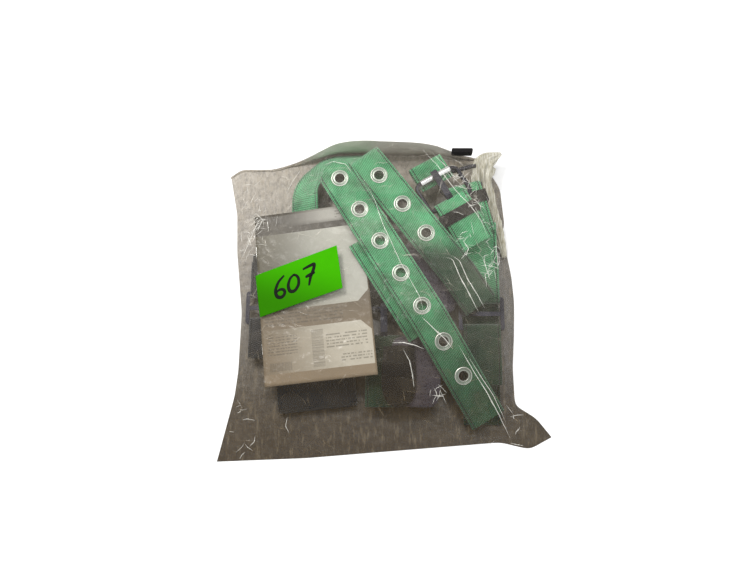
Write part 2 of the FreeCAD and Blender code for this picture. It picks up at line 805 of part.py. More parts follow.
ring_place = DORSAL * Place(Vec(0, RING_AT, RING_RISE), Turn())
ring_body = new_body("dorsal_d_ring", ring_place)
half_ring = sheet.ring_width / 2
ring_centreline = new_sketch(ring_body, "centreline", "XY_Plane")
shoulder = sheet.ring_height - half_ring
CORNER = 7.0
ring_run = [
    Part.LineSegment(Vec(0, 0), Vec(half_ring - CORNER, 0)),
    round_arc(Vec(half_ring - CORNER, CORNER), Vec(half_ring - CORNER, 0), Vec(half_ring, CORNER)),
    Part.LineSegment(Vec(half_ring, CORNER), Vec(half_ring, shoulder)),
    round_arc(Vec(0, shoulder), Vec(half_ring, shoulder), Vec(-half_ring, shoulder)),
    Part.LineSegment(Vec(-half_ring, shoulder), Vec(-half_ring, CORNER)),
    round_arc(Vec(CORNER - half_ring, CORNER), Vec(-half_ring, CORNER), Vec(CORNER - half_ring, 0)),
    Part.LineSegment(Vec(-half_ring + CORNER, 0), Vec(0, 0)),
]
draw(ring_centreline, ring_run, closed=True)
ring_section = new_sketch(ring_body, "wire", "YZ_Plane")
circle(ring_section, "Sizes.ring_wire")
doc.recompute()
sweep(ring_body, ring_section, ring_centreline, "ring")

# ---------------------------------------------------------------- booklet and lot label

BOOKLET = placed(-81.8, 3.8, 36.5, 5.5, -6.6)
COVER_GAP = 0.1
STACK = sheet.pages_thick + 2 * (sheet.cover_thick + COVER_GAP)
cover = new_body("booklet_cover", BOOKLET)
cover_outline = new_sketch(cover, "outline", "XY_Plane")
rectangle(cover_outline, "Sizes.booklet_width", "Sizes.booklet_length")
doc.recompute()
pad(cover, cover_outline, f"Sizes.pages_thick + 2 * (Sizes.cover_thick + {COVER_GAP})", "closed", middle=True)
fill = new_sketch(cover, "room_for_pages", "XZ_Plane", Place(Vec(sheet.cover_thick, 0, 0), Turn()))
rectangle(fill, "Sizes.booklet_width", f"Sizes.pages_thick + 2 * {COVER_GAP}")
doc.recompute()
cut_through(cover, fill, "open_sides")
pages = new_body("booklet_pages", BOOKLET)
pages_outline = new_sketch(pages, "outline", "XY_Plane")
rectangle(pages_outline, "Sizes.booklet_width - 2", "Sizes.booklet_length - 1")
doc.recompute()
pad(pages, pages_outline, "Sizes.pages_thick", "pages", middle=True)
staples = new_body("booklet_staples", BOOKLET)
staple_place = Place(Vec(-sheet.booklet_width / 2 - 0.35, -60.0, 0), Turn())
staple_outline = new_sketch(staples, "outline", "XY_Plane", staple_place)
rectangle(staple_outline, "0.5 mm", "12 mm")
doc.recompute()
staple = pad(staples, staple_outline, "0.5 mm", "staple", middle=True)
pair = staples.newObject("PartDesign::LinearPattern", "pair")
pair.Originals = [staple]
pair.Direction = (staple_outline, ["V_Axis"])
pair.Mode = "Spacing"
pair.Occurrences = 2
pair.Offset = 120.0
staples.Tip = pair
doc.recompute()

label = new_body("lot_label", placed(-100.0, 16.0, 43.6, 20.0, -8.8))
label_outline = new_sketch(label, "outline", "XY_Plane")
rectangle(label_outline, "Sizes.label_width", "Sizes.label_length")
doc.recompute()
pad(label, label_outline, "Sizes.label_thick", "label")

# ---------------------------------------------------------------- the clear bag

OUTLINE = [
    (-193, -188), (-90, -184), (-16, -178), (60, -172), (135, -166), (169, -175), (195, -160),
    (156, -122), (154, -54), (154, 20), (151, 66), (150, 100), (148, 150), (124, 188), (60, 192),
    (-34, 191), (-86, 186), (-140, 176), (-178, 178), (-193, 166), (-183, 114), (-181, 66),
    (-172, -10), (-173, -82), (-176, -112),
]  # fmt: skip
# Levels of the front film from the seam up. Each has 13 corners, anticlockwise from the lower left.
LEVELS = [
    (1.0, [(-172, -150), (-20, -162), (96, -162), (146, -152), (150, -110), (151, 20), (143, 102),
           (117, 184), (0, 190.5), (-52, 189), (-98, 181), (-176, 150), (-172, -20)]),
    (18.0, [(-162, -134), (-20, -154), (97, -158.5), (145, -138), (149, -100), (150, 20), (142, 102),
            (118, 184), (0, 190.5), (-52, 188), (-98, 180), (-172, 140), (-168, -20)]),
    (33.0, [(-146, -114), (-20, -142), (86, -138), (122, -112), (143, -70), (146, 20), (138, 100),
            (120, 183), (0, 190.5), (-52, 187), (-97, 172), (-166, 112), (-161, 0)]),
    (50.0, [(-50, -102), (-5, -106), (50, -86), (92, -52), (111, 0), (114, 56), (116, 108),
            (118, 180), (0, 190.3), (-52, 186), (-96, 160), (-64, 100), (-38, 0)]),
    (60.0, [(-16, -30), (20, -70), (40, -73), (86, -42), (92, -10), (66, 40), (36, 90),
            (6, 140), (-26, 178), (-52, 183), (-93, 160), (-60, 98), (-34, 44)]),
]  # fmt: skip
FILM_SEAM = sheet.film + 0.05


def closed_polygon(sketch, points):
    first = sketch.GeometryCount
    count = len(points)
    corner = [Vec(*point) for point in points]
    for i in range(count):
        sketch.addGeometry(Part.LineSegment(corner[i], corner[(i + 1) % count]))
    for i in range(count):
        following = first + (i + 1) % count
        sketch.addConstraint(Sketcher.Constraint("Coincident", first + i, 2, following, 1))


def inward(points, distance):
    """The corners, each drawn in towards the middle of them all."""
    middle = Vec(sum(a for a, _ in points) / len(points), sum(b for _, b in points) / len(points))
    moved = []
    for a, b in points:
        pull = (middle - Vec(a, b)).normalize() * distance
        moved.append((a + pull.x, b + pull.y))
    return moved


def film_loft(body, kind, name, levels):
    sections = []
    for number, (height, points) in enumerate(levels):
        section = new_sketch(body, f"{name}_level{number}", "XY_Plane", Place(Vec(0, 0, height), Turn()))
        closed_polygon(section, points)
        sections.append(section)
    doc.recompute()
    loft = body.newObject(kind, name)
    loft.Profile = sections[0]
    loft.Sections = sections[1:]
    loft.Ruled = True
    doc.recompute()
    return loft


back_film = new_body("bag_back_film")
back_outline = new_sketch(back_film, "outline", "XY_Plane")
closed_polygon(back_outline, OUTLINE)
doc.recompute()
pad(back_film, back_outline, "Sizes.film", "film")

front_film = new_body("bag_front_film")
outer_levels = [(FILM_SEAM if height == 1.0 else height, points) for height, points in LEVELS]
film_loft(front_film, "PartDesign::AdditiveLoft", "outside", outer_levels)
drop = 0.75
inner_levels = [
    (FILM_SEAM - 0.3 if height == 1.0 else height - (drop if height == sheet.pack_top else 0), inward(points, 0.8))
    for height, points in LEVELS
]
film_loft(front_film, "PartDesign::SubtractiveLoft", "inside", inner_levels)
flange = new_sketch(front_film, "flange", "XY_Plane", Place(Vec(0, 0, FILM_SEAM), Turn()))
closed_polygon(flange, OUTLINE)
closed_polygon(flange, inward(LEVELS[0][1], 0.5))
doc.recompute()
pad(front_film, flange, "Sizes.film - 0.1", "seam")

neck = new_body("bag_gathered_neck", placed(0, 0, 8.0))
neck_route = new_sketch(neck, "route", "XY_Plane")
draw(neck_route, rounded_run([(151.5, 78, 0), (151.5, 112, 50.0), (141.5, 146, 40.0), (146, 184, 0)]))
neck_section = new_sketch(neck, "section", "XZ_Plane", Place(Vec(151.5, 0, -78.0), Turn()))
circle(neck_section, "5 mm")
doc.recompute()
sweep(neck, neck_section, neck_route, "gather")

padded_plate("lanyard_keeper_left", placed(97.0, 189.6, 18.0), "26 mm", "5 mm", "12 mm", "1.6 mm", None)
padded_plate("lanyard_keeper_right", placed(133.4, 176.0, 1.6), "9 mm", "10 mm", "4.4 mm", "2 mm", None)

# ---------------------------------------------------------------- checks and export

doc.recompute()
failed = []
for thing in doc.Objects:
    if any(state in ("Invalid", "Error") for state in thing.State):
        failed.append(f"{thing.Name} ({getattr(thing, 'Label', '')}): {thing.State}")
for piece in made:
    if piece.Shape.isNull() or not piece.Shape.isValid() or piece.Shape.Volume <= 0:
        failed.append(f"{piece.Label} has no valid shape")
if failed:
    raise RuntimeError("\n".join(failed))

os.makedirs("parts", exist_ok=True)
for old in os.listdir("parts"):
    os.remove(os.path.join("parts", old))
for piece in made:
    piece.Shape.exportStep(f"parts/{piece.Label}.step")
    box = piece.Shape.BoundBox
    print(
        f"{piece.Label:32s} {len(piece.Shape.Solids):3d} solids "
        f"x {box.XMin:7.1f}..{box.XMax:7.1f} y {box.YMin:7.1f}..{box.YMax:7.1f} z {box.ZMin:5.1f}..{box.ZMax:5.1f}"
    )
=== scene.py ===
# %% [markdown]
# A safety harness is sold folded flat, with its booklet, in a clear polyethylene bag. This
# lesson dresses the CAD model of one such pack: woven webbing with rolled eyelets, black
# padding, a printed booklet, a fluorescent label, and the crumpled film round it all.
# The CAD model is loaded first as a fixed frame, so every new piece is made where its solid is.

# %% Load the frame
import math

import bmesh
import bpy
import numpy as np
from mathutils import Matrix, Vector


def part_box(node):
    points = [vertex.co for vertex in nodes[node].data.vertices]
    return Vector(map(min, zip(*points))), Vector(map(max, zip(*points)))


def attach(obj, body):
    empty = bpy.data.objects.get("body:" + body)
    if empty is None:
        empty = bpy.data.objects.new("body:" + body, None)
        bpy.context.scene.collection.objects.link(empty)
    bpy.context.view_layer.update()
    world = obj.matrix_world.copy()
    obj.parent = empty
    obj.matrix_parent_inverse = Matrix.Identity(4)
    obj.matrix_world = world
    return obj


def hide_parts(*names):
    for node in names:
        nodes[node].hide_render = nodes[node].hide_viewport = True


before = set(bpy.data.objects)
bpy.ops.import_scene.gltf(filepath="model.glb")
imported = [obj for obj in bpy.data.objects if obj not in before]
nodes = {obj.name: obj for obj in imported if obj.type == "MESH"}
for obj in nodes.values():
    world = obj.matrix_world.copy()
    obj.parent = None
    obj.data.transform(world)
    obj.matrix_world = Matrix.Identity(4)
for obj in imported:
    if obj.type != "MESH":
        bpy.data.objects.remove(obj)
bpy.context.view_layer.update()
MM = 0.001

# %% [markdown]
# The camera comes first. A pack on a floor is looked at from above and a little from its foot,
# so the camera stands about a metre off and looks down at 75 degrees. A lens of 40 mm keeps the
# perspective of a person who leans over it. The shift only slides the frame, as a view camera
# does, so upright lines don't change.

# %% Camera
TARGET = np.array([0.0, 0.0, 0.020])
ELEVATION = math.radians(75)
DISTANCE = 1.0
camera_data = bpy.data.cameras.new("camera")
camera = bpy.data.objects.new("camera", camera_data)
bpy.context.scene.collection.objects.link(camera)
camera.location = TARGET + DISTANCE * np.array([0, -math.cos(ELEVATION), math.sin(ELEVATION)])
camera.rotation_euler = (math.pi / 2 - ELEVATION, 0, 0)
camera_data.sensor_width = 36.0
camera_data.lens = 40.59
camera_data.shift_x = -0.0154
camera_data.shift_y = 0.0161
bpy.context.scene.camera = camera
print("camera at", tuple(round(c, 3) for c in camera.location))

# %% [markdown]
# A few helpers turn arrays into meshes. `mesh_from` takes points and faces, and `grid_quads`
# numbers the square between each four neighbours of a grid of points. Both work on whole arrays
# at once, which is much quicker than adding vertices one by one. The others tidy a mesh up: they
# turn its faces outwards, bake its modifiers, or join several pieces into one.

# %% Mesh helpers


def new_object(name, data):
    piece = bpy.data.objects.new(name, data)
    bpy.context.scene.collection.objects.link(piece)
    return piece


def mesh_from(name, points, quads, uv=None, smooth=True, extra=None):
    """A mesh of points and quads (or ngons as lists); uv is one pair per point."""
    data = bpy.data.meshes.new(name)
    data.from_pydata(points.reshape(-1, 3), [], [tuple(q) for q in quads])
    data.update()
    if uv is not None:
        layer = data.uv_layers.new(name="surface")
        loop_vertex = np.empty(len(data.loops), np.int32)
        data.loops.foreach_get("vertex_index", loop_vertex)
        layer.data.foreach_set("uv", uv.reshape(-1, 2)[loop_vertex].astype(np.float32).ravel())
    for key, values in (extra or {}).items():
        attribute = data.attributes.new(key, "FLOAT", "POINT")
        attribute.data.foreach_set("value", values.astype(np.float32).ravel())
    data.polygons.foreach_set("use_smooth", np.full(len(data.polygons), smooth))
    return new_object(name, data)


def grid_quads(rows, columns, wrap=False):
    """Corner numbers of each square of a rows x columns grid; wrap joins the last column to the first."""
    across = columns if wrap else columns - 1
    i, j = np.meshgrid(np.arange(rows - 1), np.arange(across), indexing="ij")
    k = (j + 1) % columns
    near, far = i * columns, (i + 1) * columns
    return np.stack([near + j, far + j, far + k, near + k], -1).reshape(-1, 4)


def close_holes(mesh):
    bmesh.ops.holes_fill(mesh, edges=[e for e in mesh.edges if e.is_boundary], sides=0)


def face_outwards(piece, weld=False, close=False):
    """Turns every face outwards. Points that coincide are welded first, and holes closed, where asked."""
    mesh = bmesh.new()
    mesh.from_mesh(piece.data)
    if weld:
        bmesh.ops.remove_doubles(mesh, verts=mesh.verts, dist=1e-6)
    if close:
        close_holes(mesh)
    bmesh.ops.recalc_face_normals(mesh, faces=mesh.faces)
    mesh.to_mesh(piece.data)
    mesh.free()


def apply_modifiers(piece):
    """Bakes a piece's modifiers into its mesh."""
    depsgraph = bpy.context.evaluated_depsgraph_get()
    baked = bpy.data.meshes.new_from_object(piece.evaluated_get(depsgraph), depsgraph=depsgraph)
    piece.modifiers.clear()
    piece.data = baked


def join(name, pieces):
    with bpy.context.temp_override(active_object=pieces[0], selected_editable_objects=pieces):
        bpy.ops.object.join()
    pieces[0].name = name
    return pieces[0]


print("mesh helpers ready")

# %% [markdown]
# Crumpled film, wavy cloth and worn padding all need unevenness that repeats exactly each time.
# Gradient noise gives it: random slopes at the corners of a lattice, blended smoothly between
# them. The slopes come from a seeded generator, so each run makes the same creases.

# %% Smooth noise


def noise2(x, y, seed):
    """Gradient noise in two dimensions, about -0.7 to 0.7, with one feature per unit of x and y."""
    rng = np.random.default_rng(seed)
    angle = rng.uniform(0, 2 * np.pi, (64, 64))
    gx, gy = np.cos(angle), np.sin(angle)
    x0, y0 = np.floor(x).astype(int), np.floor(y).astype(int)
    fx, fy = x - x0, y - y0
    sx, sy = (t * t * t * (t * (t * 6 - 15) + 10) for t in (fx, fy))

    def corner(i, j):
        a, b = (x0 + i) % 64, (y0 + j) % 64
        return gx[a, b] * (fx - i) + gy[a, b] * (fy - j)

    low = corner(0, 0) * (1 - sx) + corner(1, 0) * sx
    high = corner(0, 1) * (1 - sx) + corner(1, 1) * sx
    return low * (1 - sy) + high * sy


def creases(x, y, scale, seed):
    """Sharp crests, as of crumpled film: one minus the size of noise on coordinates that other noise bends."""
    bend_x = noise2(x / scale / 2.3 + 7, y / scale / 2.3, seed + 1)
    bend_y = noise2(x / scale / 2.3, y / scale / 2.3 + 9, seed + 2)
    crest = noise2(x / scale + 0.9 * bend_x, y / scale + 0.9 * bend_y, seed)
    return 1 - np.clip(np.abs(crest) * 3.2, 0, 1)


print("noise spans", round(float(noise2(np.linspace(0, 9, 99), np.linspace(0, 5, 99), 1).min()), 2))

# %% [markdown]
# Materials are built from nodes. These small helpers keep the graphs readable: one adds a node
# and sets its sockets, one does arithmetic, one mixes two colours. Numbers that are the same all
# over a surface are set on the shader itself.

# %% Material helpers


class Graph:
    """A material's node graph, with short ways to add to it."""

    def __init__(self, name, **constant):
        self.material = bpy.data.materials.new(name)
        self.material.use_nodes = True
        self.tree = self.material.node_tree
        self.shader = self.tree.nodes["Principled BSDF"]
        for socket, value in constant.items():
            self.shader.inputs[socket.replace("_", " ")].default_value = value

    def add(self, kind, *inputs, **settings):
        node = self.tree.nodes.new("ShaderNode" + kind)
        for key, value in settings.items():
            setattr(node, key, value)
        for i, value in enumerate(inputs):
            self.feed(node.inputs[i], value)
        return node

    def feed(self, socket, value):
        if value is None:
            return
        if isinstance(value, (int, float, tuple)):
            socket.default_value = value
        else:
            self.tree.links.new(value, socket)

    def math(self, operation, *values):
        return self.add("Math", *values, operation=operation).outputs[0]

    def times(self, *values):
        return self.math("MULTIPLY", *values)

    def plus(self, *values):
        return self.math("ADD", *values)

    def minus(self, first, second):
        return self.math("SUBTRACT", first, second)

    def most(self, first, second):
        return self.math("MAXIMUM", first, second)

    def unsigned(self, value):
        return self.math("ABSOLUTE", value)

    def mix(self, share, first, second, **settings):
        """The first colour at a share of 0, the second at 1."""
        node = self.add("Mix", data_type="RGBA", **settings)
        for i, value in ((0, share), (6, first), (7, second)):
            self.feed(node.inputs[i], value)
        return node.outputs[2]

    def ramp(self, value, low, high):
        """0 below low, 1 above high, smooth between."""
        node = self.add("MapRange", value, low, high, 0.0, 1.0, interpolation_type="SMOOTHSTEP")
        return node.outputs[0]

    def noise(self, place, scale, detail=3.0, rough=0.55, stretch=(1, 1, 1)):
        mapped = self.add("Mapping", place)
        mapped.inputs["Scale"].default_value = stretch
        node = self.add("TexNoise", noise_dimensions="3D")
        self.feed(node.inputs["Vector"], mapped.outputs[0])
        node.inputs["Scale"].default_value = scale
        node.inputs["Detail"].default_value = detail
        node.inputs["Roughness"].default_value = rough
        return node.outputs[0]

    def place(self, kind="Object"):
        return self.add("TexCoord").outputs[kind]

    def split(self, vector):
        return self.add("SeparateXYZ", vector).outputs

    def bump(self, height, distance, strength=1.0, under=None):
        node = self.add("Bump")
        node.inputs["Strength"].default_value = strength
        node.inputs["Distance"].default_value = distance
        self.feed(node.inputs["Height"], height)
        self.feed(node.inputs["Normal"], under)
        return node.outputs[0]

    def set(self, socket, value):
        self.feed(self.shader.inputs[socket], value)

    def paint_foot_shade(self, colour, keep=0.5, low=-0.15, high=0.06):
        """Darkens a colour towards the pack's foot: painted shade, as if the light fell off there."""
        clean = self.ramp(self.split(self.place())[1], low, high)
        return self.mix(self.minus(1.0, clean), colour, (keep, keep, keep * 0.92, 1.0), blend_type="MULTIPLY")

    def facets(self, scale, thin, stretch, turn, feature="DISTANCE_TO_EDGE"):
        """Crumple facets, a warped cell pattern: the lines where facets meet, or each facet's own shade."""
        warp = self.add("TexNoise", self.place())
        warp.inputs["Scale"].default_value = scale * 0.45
        nudge = self.add("VectorMath", warp.outputs["Color"], (0.5, 0.5, 0.5), operation="SUBTRACT")
        nudge = self.add("VectorMath", nudge.outputs[0], operation="SCALE")
        nudge.inputs["Scale"].default_value = 1.3 / scale
        moved = self.add("VectorMath", self.place(), nudge.outputs[0], operation="ADD")
        mapped = self.add("Mapping", moved.outputs[0])
        mapped.inputs["Rotation"].default_value = (0, 0, turn)
        mapped.inputs["Scale"].default_value = stretch
        cells = self.add("TexVoronoi", feature=feature)
        self.feed(cells.inputs["Vector"], mapped.outputs[0])
        cells.inputs["Scale"].default_value = scale
        if feature == "F1":
            return self.split(cells.outputs["Color"])[0]
        return self.minus(1.0, self.ramp(cells.outputs["Distance"], 0.0, thin))


def dress(piece, material):
    piece.data.materials.clear()
    piece.data.materials.append(material)


def stands_for(piece, node):
    """A piece that takes a CAD node's place and rides on the pack."""
    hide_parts(node)
    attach(piece, "pack")


def tone(red, green, blue):
    """A colour as paint shops give it, 0 to 255, turned into the linear light that shaders use."""
    shares = [c / 255 for c in (red, green, blue)]
    return (*(((c + 0.055) / 1.055) ** 2.4 if c > 0.0404 else c / 12.92 for c in shares), 1.0)


def scaled(colour, factor):
    """A colour made lighter or darker, in linear light."""
    return (*(min(1.0, c * factor) for c in colour[:3]), 1.0)


print("green webbing is", [round(c, 3) for c in tone(60, 140, 90)])

# %% [markdown]
# Webbing is a thick narrow cloth. Its twill shows as fine slanting lines, its two edges carry a
# darker tracer thread, and rubbing lightens it in patches. Painted shade darkens it towards the
# pack's foot. The strap's own UV map says how far across and along the strap a point is, in
# units of 100 mm, so the weave follows every fold.

# %% Webbing material


def webbing_material(name, light, dark, edge, keep=0.2, low=-0.15, high=0.05):
    graph = Graph(name, Roughness=0.62, Sheen_Weight=0.35, Sheen_Roughness=0.4, Specular_IOR_Level=0.4)
    across, along, _ = graph.split(graph.place("UV"))
    across_mm = graph.times(across, 100.0)
    along_mm = graph.times(along, 100.0)
    slant = graph.plus(graph.times(across_mm, 0.42), along_mm)
    twill = graph.math("SINE", graph.times(slant, 2 * math.pi / 2.5))
    ends = graph.math("SINE", graph.times(across_mm, 2 * math.pi / 1.05))
    picks = graph.math("SINE", graph.times(along_mm, 2 * math.pi / 1.4))
    weave = graph.plus(graph.times(twill, 0.6), graph.times(graph.times(ends, picks), 0.4))
    wear = graph.noise(graph.place(), 34.0, 5.0)
    fleck = graph.noise(graph.place(), 900.0, 2.0)
    shade = graph.plus(graph.times(weave, 0.85), graph.times(graph.minus(wear, 0.5), 3.4))
    shade = graph.ramp(shade, -1.2, 1.2)
    colour = graph.mix(shade, dark, light)
    colour = graph.mix(graph.times(graph.ramp(fleck, 0.55, 0.75), 0.25), colour, scaled(light, 1.7))
    side = graph.unsigned(across_mm)
    tracer = graph.minus(1.0, graph.ramp(graph.unsigned(graph.minus(side, 18.7)), 0.35, 0.95))
    stitch = graph.ramp(graph.math("SINE", graph.times(along_mm, 2 * math.pi / 4.2)), -0.75, -0.4)
    tracer = graph.times(tracer, graph.plus(0.45, graph.times(stitch, 0.5)))
    rim = graph.ramp(side, 21.2, 22.0)
    colour = graph.mix(tracer, colour, edge)
    colour = graph.mix(graph.times(rim, 0.5), colour, edge)
    # Painted shade: the webbing's colour darkens towards the pack's foot.
    graph.set("Base Color", graph.paint_foot_shade(colour, keep, low, high))
    height = graph.minus(weave, graph.times(tracer, 1.6))
    graph.set("Normal", graph.bump(height, 0.0005, 1.0))
    return graph.material


BRIGHT_YARN, SHADE_YARN, TRACER_YARN = tone(92, 184, 126), tone(16, 84, 46), tone(10, 32, 24)
GREEN_WEB = webbing_material("green webbing", BRIGHT_YARN, SHADE_YARN, TRACER_YARN)
# Two copies of the green webbing with stronger painted shade, which starts higher up the pack, for the straps
# that lie in shade.
SHADED_WEB = webbing_material(
    "green webbing in painted shade", tone(96, 190, 130), tone(18, 88, 50), tone(10, 30, 22), 0.09, -0.015, 0.05
)
FADING_SHADE_WEB = webbing_material("green webbing fading into painted shade", BRIGHT_YARN, SHADE_YARN, TRACER_YARN, 0.16, 0.035, 0.085)
BLACK_WEB = webbing_material("black webbing", tone(62, 62, 64), tone(24, 26, 30), tone(12, 12, 14))
print("webbing materials ready")

# %% [markdown]
# Each strap folds in an upright plane of its own: straight runs joined by round folds. So a
# strap is a rounded flat outline carried along that folded line. Slow noise lifts it here and
# there by half a millimetre, because real webbing never lies quite flat. The eyelet holes are
# cut with a boolean of plain cylinders, which keeps the strap closed and its UV map in place.

# %% Straps


def folded_line(corners, step=1.4):
    """Points along straight runs joined by arcs. Each corner is (along, height, radius), in millimetres."""
    points = np.array([c[:2] for c in corners], float)
    line = [points[:1]]
    for i in range(1, len(corners) - 1):
        radius = corners[i][2]
        back, ahead = points[i - 1] - points[i], points[i + 1] - points[i]
        back, ahead = back / np.linalg.norm(back), ahead / np.linalg.norm(ahead)
        half = math.acos(np.clip(back @ ahead, -1, 1)) / 2
        reach = radius / math.tan(half)
        centre = points[i] + (back + ahead) / np.linalg.norm(back + ahead) * radius / math.sin(half)
        start, end = points[i] + back * reach - centre, points[i] + ahead * reach - centre
        first, turn = math.atan2(start[1], start[0]), math.pi - 2 * half
        turn = turn if start[0] * end[1] - start[1] * end[0] > 0 else -turn
        angle = first + turn * np.linspace(0, 1, max(4, int(radius * abs(turn) / 0.9)))
        line.append(centre + radius * np.stack([np.cos(angle), np.sin(angle)], 1))
    line.append(points[-1:])
    line = np.concatenate(line)
    keep = np.r_[True, np.linalg.norm(np.diff(line, axis=0), axis=1) > 1e-4]
    line = line[keep]
    run = np.r_[0, np.cumsum(np.linalg.norm(np.diff(line, axis=0), axis=1))]
    wanted = np.unique(np.r_[run, np.arange(0, run[-1], step)])
    wanted = wanted[np.r_[True, np.diff(wanted) > 0.15]]
    return np.stack([np.interp(wanted, run, line[:, 0]), np.interp(wanted, run, line[:, 1])], 1), wanted


def flat_outline(wide, thick, count=23):
    """A flat outline with round edges: top from right to left, round the edge, bottom from left to right."""
    edge = thick / 2
    across = np.linspace(-1, 1, count) * (wide / 2 - edge)
    turn = np.linspace(-90, 90, 7)[1:-1] * math.pi / 180
    top = np.stack([across[::-1], np.full(count, edge)], 1)
    left = np.stack([-(wide / 2 - edge) - edge * np.cos(turn), -edge * np.sin(-turn)], 1)[::-1]
    return np.concatenate([top, left, -top, -left])


def webbing(
    name, spot, corners, thick=2.4, wide=44.0, wave=0.35, seed=1, tongue=0.0,
    plan=False, bank=0.0, climb=0.0, steepen=0.0,
):  # fmt: skip
    """A strap: its outline carried along a folded line that stands on a spot (x, y, z, turn in degrees).

    A tongue rounds the start: the half width there follows a circle of the tongue's radius. A plan strap
    turns in plan instead of folding upright: it banks by some degrees, and climbs and steepens on its way.
    """
    line, run = folded_line(corners)
    ahead = np.gradient(line, axis=0)
    ahead /= np.linalg.norm(ahead, axis=1, keepdims=True)
    up = np.stack([-ahead[:, 1], ahead[:, 0]], 1)
    shape = flat_outline(wide, thick)
    lift = wave * noise2(run[:, None] / 26.0, shape[None, :, 0] / 30.0 + seed * 3.7, seed)
    ease = np.clip(np.minimum(run, run[-1] - run) / 12.0, 0.2, 1)[:, None]
    height = shape[None, :, 1] + lift * ease
    across = np.broadcast_to(shape[None, :, 0], height.shape)
    if tongue:
        short = np.clip(tongue - run, 0, tongue * 0.998)
        half = wide / 2 - tongue + np.sqrt(tongue**2 - short**2)
        across = across * (half / (wide / 2))[:, None]
    if plan:
        share = (run / run[-1])[:, None] ** 2
        lean = np.radians(bank + steepen * share)
        side = across * np.cos(lean) - height * np.sin(lean)
        rise = across * np.sin(lean) + height * np.cos(lean)
        x = line[:, None, 0] - up[:, None, 0] * side
        y = line[:, None, 1] - up[:, None, 1] * side
        local = np.stack([x, y, rise + climb * share], -1)
    else:
        x = line[:, None, 0] + up[:, None, 0] * height
        z = line[:, None, 1] + up[:, None, 1] * height
        local = np.stack([x, across, z], -1)
    turn = math.radians(spot[3])
    world = np.stack(
        [
            spot[0] + local[..., 0] * math.cos(turn) - local[..., 1] * math.sin(turn),
            spot[1] + local[..., 0] * math.sin(turn) + local[..., 1] * math.cos(turn),
            spot[2] + local[..., 2],
        ],
        -1,
    )
    rows, columns = world.shape[:2]
    quads = grid_quads(rows, columns, wrap=True).tolist()
    quads += [list(range(columns)), list(range((rows - 1) * columns, rows * columns))]
    uv = np.stack([across / 100, np.broadcast_to(run[:, None] / 100, across.shape)], -1)
    piece = mesh_from(name, world * MM, quads, uv)
    face_outwards(piece)
    return piece


def fold(along, low, high, outward=-1):
    """The two corners of a half-round fold that climbs from low to high."""
    radius = (high - low) / 2
    tip = along + outward * radius
    return [(tip, low, radius), (tip, high, radius)]


LOOP = 4.3
FLOOR, SECOND, THIRD, FOURTH = 2.6, 7.6, 12.6, 18.35
LEFT_LEG, RIGHT_LEG = (-70.9, 170.3, 0, -58.5), (-27.2, 174.8, 0, -52.7)
RIGHT_SIDE, LEFT_SIDE = (115.0, 104.0, 0, -90.0), (-138.0, 62.0, 0, -90.0)
BUCKLE_RIGHT, BUCKLE_LEFT = (44.0, 180.0, 0, -60.0), (0.0, -48.0, 0, -90.0)
CHEST = (90.0, 164.0, 0, -74.0)
SLOPE = math.tan(math.radians(17))


def looped(bar, height, upper):
    return [(bar + 36, height - LOOP, 0)] + fold(bar, height - LOOP, height + LOOP) + upper


STRAPS = {
    "leg_strap_left": (LEFT_LEG, [(13, 54, 0), (237, 54, 60), (366, 54 - 129 * SLOPE, 0)], 4.8),
    "leg_strap_right": (
        RIGHT_LEG,
        [(60, 34, 0)] + fold(9.4, 34, 48) + [(185, 48, 60), (232, 48 - 47 * SLOPE, 0)],
        4.8,
    ),
    "shoulder_strap_right": (
        RIGHT_SIDE,
        [(250, FLOOR, 0)] + fold(6, FLOOR, SECOND) + fold(174, SECOND, THIRD, 1) + fold(8, THIRD, FOURTH)
        + fold(104, FOURTH, FOURTH + 2 * LOOP, 1) + [(60, FOURTH + 2 * LOOP, 0)],
        2.4,
    ),
    "torso_strap_right": (
        RIGHT_SIDE,
        [(167.6, FOURTH, 0)] + fold(139.6, FOURTH, FOURTH + 2 * LOOP) + [(186, 26.95, 60), (206, 20.95, 0)],
        2.4,
    ),
    "torso_strap_left": (
        LEFT_SIDE,
        [(46, FLOOR, 0)] + fold(4, FLOOR, SECOND) + fold(52, SECOND, SECOND + 2 * LOOP, 1) + [(14, 16.2, 0)],
        2.4,
    ),
    "side_strap_left": (
        LEFT_SIDE,
        [(113.6, SECOND, 0)] + fold(87.6, SECOND, SECOND + 2 * LOOP) + [(131.6, 16.2, 0)],
        2.4,
    ),
    "back_strap": ((-64, 22, 0, 0), [(20, FLOOR, 0)] + fold(146, FLOOR, SECOND, 1) + [(6, SECOND, 0)], 2.4),
    "sub_pelvic_strap": (
        (-128, -112, 0, 6),
        [(94, FLOOR, 0)] + fold(8, FLOOR, SECOND) + fold(92, SECOND, THIRD, 1) + [(4, THIRD, 0)],
        2.4,
    ),
    "chest_strap_left": ((-22.6, 68.5, 0, -58.5), [(0, 48, 0), (112, 48, 60), (134, 46, 0)], 2.4),
    "waist_strap": ((44, 180, 0, -60), [(38, 30.2, 0)] + fold(14, 30.2, 36) + [(44, 36, 0)], 2.4),
    "buckle_strap_right": (BUCKLE_RIGHT, looped(74, 42, [(104, 46.3, 80), (134, 38.3, 0)]), 2.4),
    "buckle_strap_left": (BUCKLE_LEFT, looped(0, 18.4, [(80, 22.7, 0)]), 2.4),
    "chest_strap_right": (CHEST, looped(26, 26, [(52, 30.3, 60), (86, 23.3, 0)]), 2.4),
}
BLACK_STRAPS = ("back_strap", "sub_pelvic_strap", "side_strap_left", "torso_strap_left")
SHADED_STRAPS = ("shoulder_strap_right", "torso_strap_right", "buckle_strap_left")
straps = {}
for number, (node, (spot, corners, thick)) in enumerate(STRAPS.items()):
    tongue = 20.0 if node == "leg_strap_left" else 0.0
    piece = webbing(node + "_web", spot, corners, thick, seed=number + 1, wave=0.6, tongue=tongue)
    straps[node] = piece
